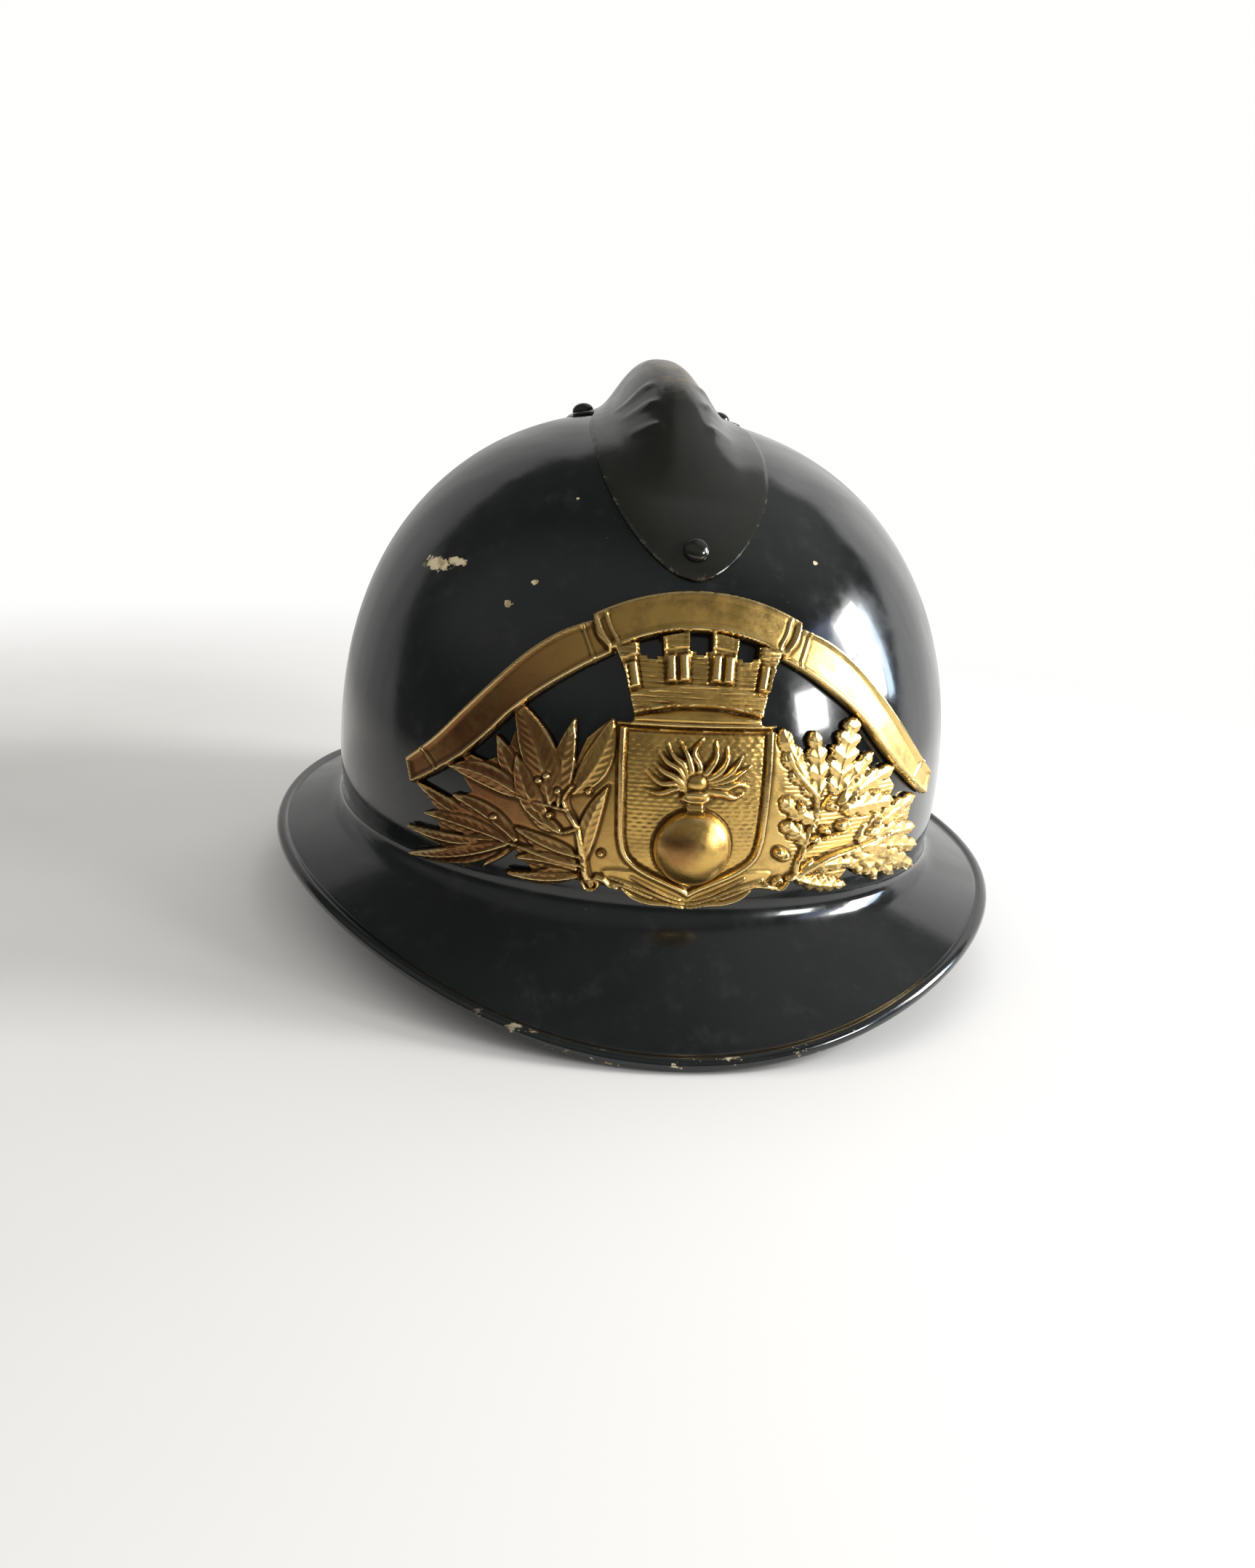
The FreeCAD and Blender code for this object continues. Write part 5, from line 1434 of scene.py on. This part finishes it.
def enamel():
    """Nearly black gloss enamel: dust, fine scratches, and chips and a worn rim that show the primer."""
    s = Shade("shell_enamel")
    inside = s.painted("inside")
    cloud = s.noise(38.0, 4.0)
    colour = s.mix(cloud, (0.0038, 0.0048, 0.0052), (0.0080, 0.0092, 0.0090))
    dust = s.times(s.step(s.noise(9.0, 6.0, 0.7), 0.50, 0.78), 0.10)
    colour = s.mix(dust, colour, (0.10, 0.10, 0.09))
    colour = s.mix(s.times(inside, 0.6), colour, (0.020, 0.021, 0.020))
    fine = s.noise(0.9, 3.0, 0.6, stretch=(1, 1, 0.08), warp=0.6)
    scratches = s.times(s.step(fine, 0.70, 0.74), s.step(s.noise(25.0, 2.0), 0.45, 0.65))
    colour = s.mix(s.times(scratches, 0.25), colour, (0.12, 0.12, 0.11))
    chips = 0.0
    for x, height, long_half, tall_half in CHIPS:
        mark = s.spot(front_place(x, height), (long_half, long_half, tall_half))
        chips = s.sum("MAXIMUM", chips, mark)
    front = s.times(s.step(s.y, -0.120, -0.138), s.step(s.sum("ABSOLUTE", s.x), 0.062, 0.020))
    flecks = s.step(s.noise(2.6, 4.0, 0.75, stretch=(0.5, 1, 1)), 0.60, 0.66)
    rim = s.times(s.painted("rim"), s.times(flecks, front))
    rare = s.times(s.painted("rim"), s.step(s.noise(2.2, 4.0, 0.8), 0.73, 0.76))
    chips = s.sum("MAXIMUM", chips, s.sum("MAXIMUM", rim, rare))
    tint = s.mix(s.step(s.noise(3.0, 2.0), 0.45, 0.6), PRIMER, (0.30, 0.22, 0.10))
    colour = s.mix(chips, colour, tint)
    rough = s.plus(s.step(s.noise(14.0, 4.0, 0.6), 0.3, 0.75, 0.10, 0.24), s.times(chips, 0.45))
    rough = s.plus(rough, s.times(inside, 0.28))
    peel = s.bump(s.noise(3.2, 2.0, 0.4), 0.022)
    hollow = s.bump(s.rest(s.sum("MAXIMUM", chips, s.times(scratches, 0.3))), 0.09, peel)
    coat = s.times(s.rest(chips), 0.35)
    return s.finish(colour=colour, rough=rough, coat=coat, coat_rough=0.05, normal=hollow, gloss=0.5)


def crest_enamel():
    """Browner, duller enamel, rubbed through on the ridge's front and along the edges."""
    s = Shade("crest_enamel")
    ridge = s.painted("ridge")
    cloud = s.noise(16.0, 5.0, 0.6)
    colour = s.mix(cloud, (0.0065, 0.0067, 0.0052), (0.0125, 0.0125, 0.0092))
    top = s.step(ridge, 0.55, 0.97)
    streaks = s.step(s.noise(2.6, 5.0, 0.75, stretch=(0.6, 1, 1)), 0.46, 0.60)
    front = s.step(s.y, 0.02, -0.030)
    rub = s.times(s.times(top, streaks), s.plus(s.times(front, 0.75), 0.2))
    colour = s.mix(s.times(rub, 0.8), colour, (0.20, 0.135, 0.045))
    edge = s.painted("edge")
    worn = s.times(edge, s.step(s.noise(3.5, 5.0, 0.8), 0.52, 0.62))
    colour = s.mix(s.times(worn, 0.7), colour, (0.13, 0.11, 0.07))
    specks = s.step(s.noise(1.5, 3.0, 0.8), 0.74, 0.77)
    colour = s.mix(specks, colour, (0.30, 0.25, 0.12))
    left_tip = s.spot(front_place(-20.0, 95.0), (1.6, 2.5, 1.6))
    colour = s.mix(left_tip, colour, (0.55, 0.42, 0.10))
    rough = s.plus(s.step(s.noise(6.0, 4.0), 0.3, 0.75, 0.13, 0.25), s.times(rub, 0.25))
    grain = s.bump(s.noise(1.1, 3.0, 0.6), 0.03)
    return s.finish(colour=colour, rough=rough, normal=grain, coat=0.3, coat_rough=0.10, gloss=0.5)


def brass():
    """Pressed brass: brown on the left and in the hollows, bright on the right and on what stands up.
    The left and right tints are partly patina and partly painted light: painted shade on the left and
    painted light on the right. The hollows are partly patina, partly painted shade; what stands up is
    partly rubbed polish, partly a painted highlight. The ball's left side has painted shade.
    """
    s = Shade("badge_brass")
    relief = s.painted("relief")
    # Brown on the left, bright gold on the right: partly patina, partly painted shade on the left and painted
    # light on the right.
    left = s.step(s.plus(s.x, s.times(s.noise(14.0, 3.0), 0.02)), -0.042, 0.0)
    right = s.step(s.plus(s.x, s.times(s.noise(12.0, 3.0), 0.02)), 0.016, 0.056)
    colour = s.mix(left, (0.44, 0.215, 0.080), (0.70, 0.445, 0.125))
    colour = s.mix(right, colour, (0.93, 0.66, 0.24))
    # Darker brown low on the left: partly patina, partly painted shade.
    high = s.step(s.z, 0.070, 0.090)
    dark = s.times(s.rest(high), s.rest(left))
    colour = s.mix(s.times(dark, 0.75), colour, (0.20, 0.085, 0.035))
    # Painted shade on the left side of the ball.
    ball = s.spot((-2.2, -122.0, 49.2), (7.2, 16.0, 8.2), 0.12, 0.25)
    colour = s.mix(s.times(ball, 0.75), colour, (0.27, 0.105, 0.045))
    stain = s.step(s.noise(8.0, 5.0, 0.7), 0.50, 0.68)
    colour = s.mix(s.times(stain, 0.55), colour, (0.36, 0.22, 0.08))
    # Dark brown in the hollows and on the back: partly patina, partly painted shade.
    hollow_patina_and_shade = s.step(relief, -0.02, -0.40)
    colour = s.mix(s.times(hollow_patina_and_shade, 0.85), colour, (0.10, 0.052, 0.018))
    # Pale gold on what stands up: partly rubbed polish, partly a painted highlight.
    raised_polish_and_highlight = s.step(relief, 0.10, 0.42)
    colour = s.mix(s.times(raised_polish_and_highlight, 0.65), colour, (0.98, 0.74, 0.33))
    rough = s.step(s.noise(5.0, 5.0, 0.7), 0.3, 0.7, 0.26, 0.42)
    rough = s.plus(rough, s.times(hollow_patina_and_shade, 0.18))
    rough = s.sum("SUBTRACT", rough, s.times(raised_polish_and_highlight, 0.08))
    tool = s.noise(0.55, 3.0, 0.6, stretch=(0.35, 1, 1.6))
    normal = s.bump(tool, 0.035)
    normal = s.bump(s.noise(2.4, 3.0), 0.06, normal)
    return s.finish(colour=colour, rough=rough, metal=1.0, normal=normal)


def leather(name, dark, light, grain_size, rough_low, rough_high):
    """Old grained leather: cloudy brown, darker in the creases of its grain and rubbed pale in places."""
    s = Shade(name)
    cloud = s.step(s.noise(22.0, 5.0, 0.6), 0.32, 0.7)
    colour = s.mix(cloud, dark, light)
    crease = s.step(s.cells(grain_size), 0.0, 0.22)
    colour = s.mix(s.times(s.rest(crease), 0.45), colour, [0.45 * c for c in dark])
    rubbed = s.step(s.noise(11.0, 6.0, 0.75), 0.56, 0.74)
    colour = s.mix(s.times(rubbed, 0.35), colour, [min(1.0, 1.7 * c) for c in light])
    rough = s.step(s.noise(7.0, 4.0), 0.3, 0.7, rough_low, rough_high)
    normal = s.bump(crease, 0.10)
    normal = s.bump(s.noise(6.0, 4.0, 0.6, stretch=(1, 1, 0.5)), 0.30, normal)
    return s.finish(colour=colour, rough=rough, normal=normal)


def felt():
    """Grey wool felt with brown stains."""
    s = Shade("felt_wool")
    fibres = s.noise(0.7, 5.0, 0.75, warp=1.2)
    colour = s.mix(fibres, (0.10, 0.10, 0.09), (0.26, 0.25, 0.22))
    colour = s.mix(s.step(s.noise(18.0, 4.0), 0.45, 0.7), colour, (0.20, 0.17, 0.12))
    return s.finish(colour=colour, rough=0.95, sheen=0.4, sheen_rough=0.5, normal=s.bump(fibres, 0.35))


def cotton(name, tint):
    """Twisted cotton, a little dirty."""
    s = Shade(name)
    yarn = s.noise(0.45, 4.0, 0.6, stretch=(1, 1, 0.4))
    colour = s.mix(yarn, [0.55 * c for c in tint], tint)
    colour = s.mix(s.step(s.noise(5.0, 3.0), 0.45, 0.7), colour, [0.7 * c for c in tint])
    return s.finish(colour=colour, rough=0.85, sheen=0.2, normal=s.bump(yarn, 0.10))


def metal(name, clean, dull, rust_share, rough_low, rough_high, brushed=(1, 1, 1)):
    """Bare or plated metal, dulled in clouds, with rust where rust_share lets it show."""
    s = Shade(name)
    cloud = s.step(s.noise(4.0, 5.0, 0.65), 0.35, 0.68)
    colour = s.mix(cloud, clean, dull)
    rust = s.step(s.noise(2.2, 6.0, 0.75), 0.72 - rust_share, 0.80 - rust_share)
    colour = s.mix(rust, colour, (0.16, 0.065, 0.025))
    rough = s.plus(s.step(s.noise(3.0, 4.0), 0.3, 0.7, rough_low, rough_high), s.times(rust, 0.35))
    keep = s.rest(s.times(rust, 0.8))
    normal = s.bump(s.noise(0.5, 3.0, 0.6, stretch=brushed), 0.03)
    return s.finish(colour=colour, rough=rough, metal=keep, normal=s.bump(rust, 0.04, normal))


FLOOR_REACH = 3.0                    # metres from its middle to each side
FLOOR_SOLID, FLOOR_GONE = 0.20, 0.62  # metres from its middle


def floor_paint():
    """Pale floor, greyer on the left with painted shade, that fades into the pale room round it."""
    s = Shade("floor_paint")
    # Greyer on the left: painted shade on the floor.
    colour = s.mix(s.step(s.x, -0.40, 0.10), (0.38, 0.365, 0.34), (0.64, 0.635, 0.625))
    colour = s.mix(s.times(s.noise(60.0, 3.0), 0.4), colour, (0.60, 0.59, 0.57))
    s.finish(colour=colour, rough=0.9, gloss=0.2)
    clear = s.put("ShaderNodeBsdfTransparent").outputs[0]
    fade = s.step(s.length(s.place), FLOOR_SOLID, FLOOR_GONE)
    both = s.put("ShaderNodeMixShader", {0: fade, 1: s.surface.outputs[0], 2: clear})
    s.tree.links.new(both.outputs[0], s.tree.nodes["Material Output"].inputs["Surface"])
    return s.material


# ---------------------------------------------------------------- light

LOOKED_AT = Vector((0.0, -0.03, 0.09))
ROOM_LIGHT = 0.080                   # of the dim room, as the enamel mirrors it
ROOM_ON_MATT = 0.80                  # what matt surfaces get from all round
ROOM_SEEN = 1.0                      # the pale background itself
WINDOW_DISTANCE = 1.5


def panel_light(name, azimuth, elevation, distance, width, height, power, colour=(1, 1, 1)):
    """Soft panel: azimuth from the helmet's front towards its +X side, both angles in degrees."""
    a, e = math.radians(azimuth), math.radians(elevation)
    data = bpy.data.lights.new(name, "AREA")
    data.shape = "RECTANGLE"
    data.size, data.size_y = width, height
    data.energy = power
    data.color = colour
    light = bpy.data.objects.new(name, data)
    bpy.context.collection.objects.link(light)
    outward = Vector((math.sin(a) * math.cos(e), -math.cos(a) * math.cos(e), math.sin(e)))
    light.location = LOOKED_AT + distance * outward
    light.rotation_euler = (LOOKED_AT - light.location).to_track_quat("-Z", "Y").to_euler()
    return light


def make_world():
    """What the enamel mirrors: a pale cloth behind, brighter on the right, and a dim room before it."""
    world = bpy.data.worlds.new("room")
    bpy.context.scene.world = world
    world.use_nodes = True
    w = Nodes(world.node_tree)
    direction = w.put("ShaderNodeTexCoord").outputs["Generated"]

    def towards(wanted):
        return w.vector("DOT_PRODUCT", direction, wanted, "Value")

    folds_place = w.vector("MULTIPLY", direction, (1.0, 1.0, 0.12))
    folds = w.put("ShaderNodeTexNoise", {"Vector": folds_place, "Scale": 9.0, "Detail": 2.0}).outputs["Fac"]
    edge = w.plus(towards((0.10, 1.0, -0.42)), w.times(folds, 0.16))
    brighter_right = w.step(towards((1.0, 0.0, 0.0)), -0.5, 0.8, 0.32, 0.98)
    cloth = w.times(w.step(edge, 0.36, 0.47), brighter_right)
    cloth = w.times(cloth, w.step(folds, 0.30, 0.62, 0.75, 1.0))
    overhead = w.step(towards((0.44, 0.15, 0.89)), 0.82, 1.0, 0.0, 0.30)
    above = w.step(towards((0.0, 0.0, 1.0)), 0.10, 0.45, 0.0, 0.17)
    front = w.times(w.step(towards((-0.55, -0.83, 0.0)), 0.05, 0.50), above)
    strength = w.plus(w.plus(cloth, overhead), w.plus(front, ROOM_LIGHT))
    rays = w.put("ShaderNodeLightPath").outputs
    for kind, level in (("Is Diffuse Ray", ROOM_ON_MATT), ("Is Camera Ray", ROOM_SEEN)):
        values = {0: rays[kind], 2: strength, 3: level}
        strength = w.put("ShaderNodeMix", values, data_type="FLOAT").outputs[0]
    background = w.tree.nodes["Background"]
    w.give(background.inputs["Color"], (1.0, 0.997, 0.985))
    w.give(background.inputs["Strength"], strength)


def make_floor():
    mesh = bpy.data.meshes.new("floor")
    corners = [(FLOOR_REACH * i, FLOOR_REACH * j, 0) for i, j in ((-1, -1), (1, -1), (1, 1), (-1, 1))]
    mesh.from_pydata(corners, [], [(0, 1, 2, 3)])
    floor = bpy.data.objects.new("floor", mesh)
    floor.data.materials.append(floor_paint())
    bpy.context.collection.objects.link(floor)


# ---------------------------------------------------------------- putting it together

def settle(obj, material, body, slot, *nodes):
    """Gives a piece its material, its body and the CAD nodes that it stands for, which it hides; slot is not
    used.
    """
    obj.data.materials.clear()
    obj.data.materials.append(material)
    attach(obj, body)
    if nodes:
        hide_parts(*nodes)


def dress(node, material):
    """A CAD node that stays in sight gets a procedural material."""
    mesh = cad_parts[node].data
    mesh.materials.clear()
    mesh.materials.append(material)


def build_shell_and_crest():
    shell_paint, crest_paint = enamel(), crest_enamel()
    settle(make_shell(), shell_paint, "helmet", "shell_enamel", "shell")
    settle(make_crest(), crest_paint, "helmet", "crest_enamel", "crest")
    for name in ("front", "rear", "left", "right"):
        settle(make_crest_rivet(name), crest_paint, "helmet", "crest_enamel", "crest_rivet_" + name)
    for name in ("left", "right"):
        dress("hanger_rivet_" + name, shell_paint)


def build_badge():
    finish = brass()
    settle(make_badge(), finish, "helmet", "badge_brass", "badge")
    for name in ("left", "right"):
        dress("badge_tab_" + name, finish)


def build_liner():
    hide = leather("liner_leather", (0.115, 0.052, 0.022), (0.27, 0.135, 0.062), 1.1, 0.42, 0.62)
    band = oval_band("sweatband", 0.0, LEATHER, LINER_BOTTOM, LINER_TOP, 11, 0.35)
    settle(band, hide, "helmet", "liner_leather", "liner_band")
    strip = oval_band("felt_strip", LEATHER + LAYER_GAP, FELT, LINER_BOTTOM + 4, LINER_TOP - 3, 21, 0.25)
    settle(strip, felt(), "helmet", "felt", "felt_band")
    for index in range(TONGUES):
        settle(make_tongue(index), hide, "helmet", "liner_leather", "liner_tongue_%d" % (index + 1))
    yarn = cotton("lace_cotton", (0.62, 0.55, 0.42))
    settle(make_lace(), yarn, "helmet", "lace_cotton", "liner_lace")
    for piece in make_lace_knot():
        settle(piece, yarn, "helmet", "lace_cotton")
    settle(make_liner_stitching(), cotton("liner_thread", (0.70, 0.62, 0.45)), "helmet", "lace_cotton")
    steel = metal("plain_steel", (0.30, 0.29, 0.27), (0.17, 0.155, 0.14), 0.10, 0.38, 0.6)
    aluminium = metal(
        "spacer_aluminium", (0.72, 0.72, 0.71), (0.50, 0.50, 0.49), -0.2, 0.30, 0.48, (1, 1, 0.1))
    for name in ("front", "rear", "left", "right"):
        dress("crest_washer_" + name, steel)
        dress("liner_clip_" + name, steel)
        dress("spacer_" + name, aluminium)
    for name in ("left", "right"):
        dress("hanger_washer_" + name, steel)


def build_chin_strap():
    hide = leather("strap_leather", (0.030, 0.016, 0.009), (0.075, 0.038, 0.018), 0.9, 0.34, 0.52)
    plate = metal("plated_steel", (0.60, 0.59, 0.56), (0.40, 0.385, 0.36), 0.03, 0.20, 0.40)
    settle(make_chin_strap(), hide, "strap", "strap_leather", "chin_strap")
    settle(make_strap_tail(), hide, "strap", "strap_leather", "chin_strap_tail")
    settle(make_strap_stitching(), cotton("strap_thread", (0.42, 0.34, 0.22)), "strap", "strap_leather")
    for name in ("left", "right"):
        hanger = rounded_copy("strap_hanger_" + name, "hanger_" + name, 0.35)
        settle(hanger, plate, "strap", "plated_steel", "strap_hanger_" + name)
    buckle = rounded_copy("slider_buckle", "slider_frame", 0.4)
    settle(buckle, plate, "buckle", "plated_steel", "slider_buckle")


WINDOWS = (                          # name, azimuth, elevation, width, height, power, colour
    ("window_top", 87, 27.5, 0.40, 0.27, 13, (1.0, 0.99, 0.97)),
    ("window_middle", 88, 14.5, 0.36, 0.34, 13, (1.0, 0.99, 0.97)),
    ("window_side", 98, 18.0, 0.10, 0.62, 2.2, (0.62, 0.80, 1.0)),
    ("window_front", 55, 14.0, 0.36, 0.31, 10, (0.98, 0.99, 1.0)),
    ("window_sky", 71, 27.0, 0.40, 0.44, 1.0, (0.45, 0.6, 1.0)))


def light_the_scene():
    """Windows that the enamel mirrors, two fills that only light it, and the room round it."""
    for name, azimuth, elevation, width, height, power, colour in WINDOWS:
        panel_light(name, azimuth, elevation, WINDOW_DISTANCE, width, height, power, colour)
    for name, azimuth, elevation, power in (("fill_back", 150, 50, 9), ("fill_left", -120, 35, 6)):
        fill = panel_light(name, azimuth, elevation, 1.8, 1.1, 0.9, power)
        fill.visible_glossy = False
    make_world()
    bpy.context.scene.view_settings.view_transform = "Standard"


make_camera()
make_floor()
light_the_scene()
build_shell_and_crest()
build_badge()
build_liner()
build_chin_strap()
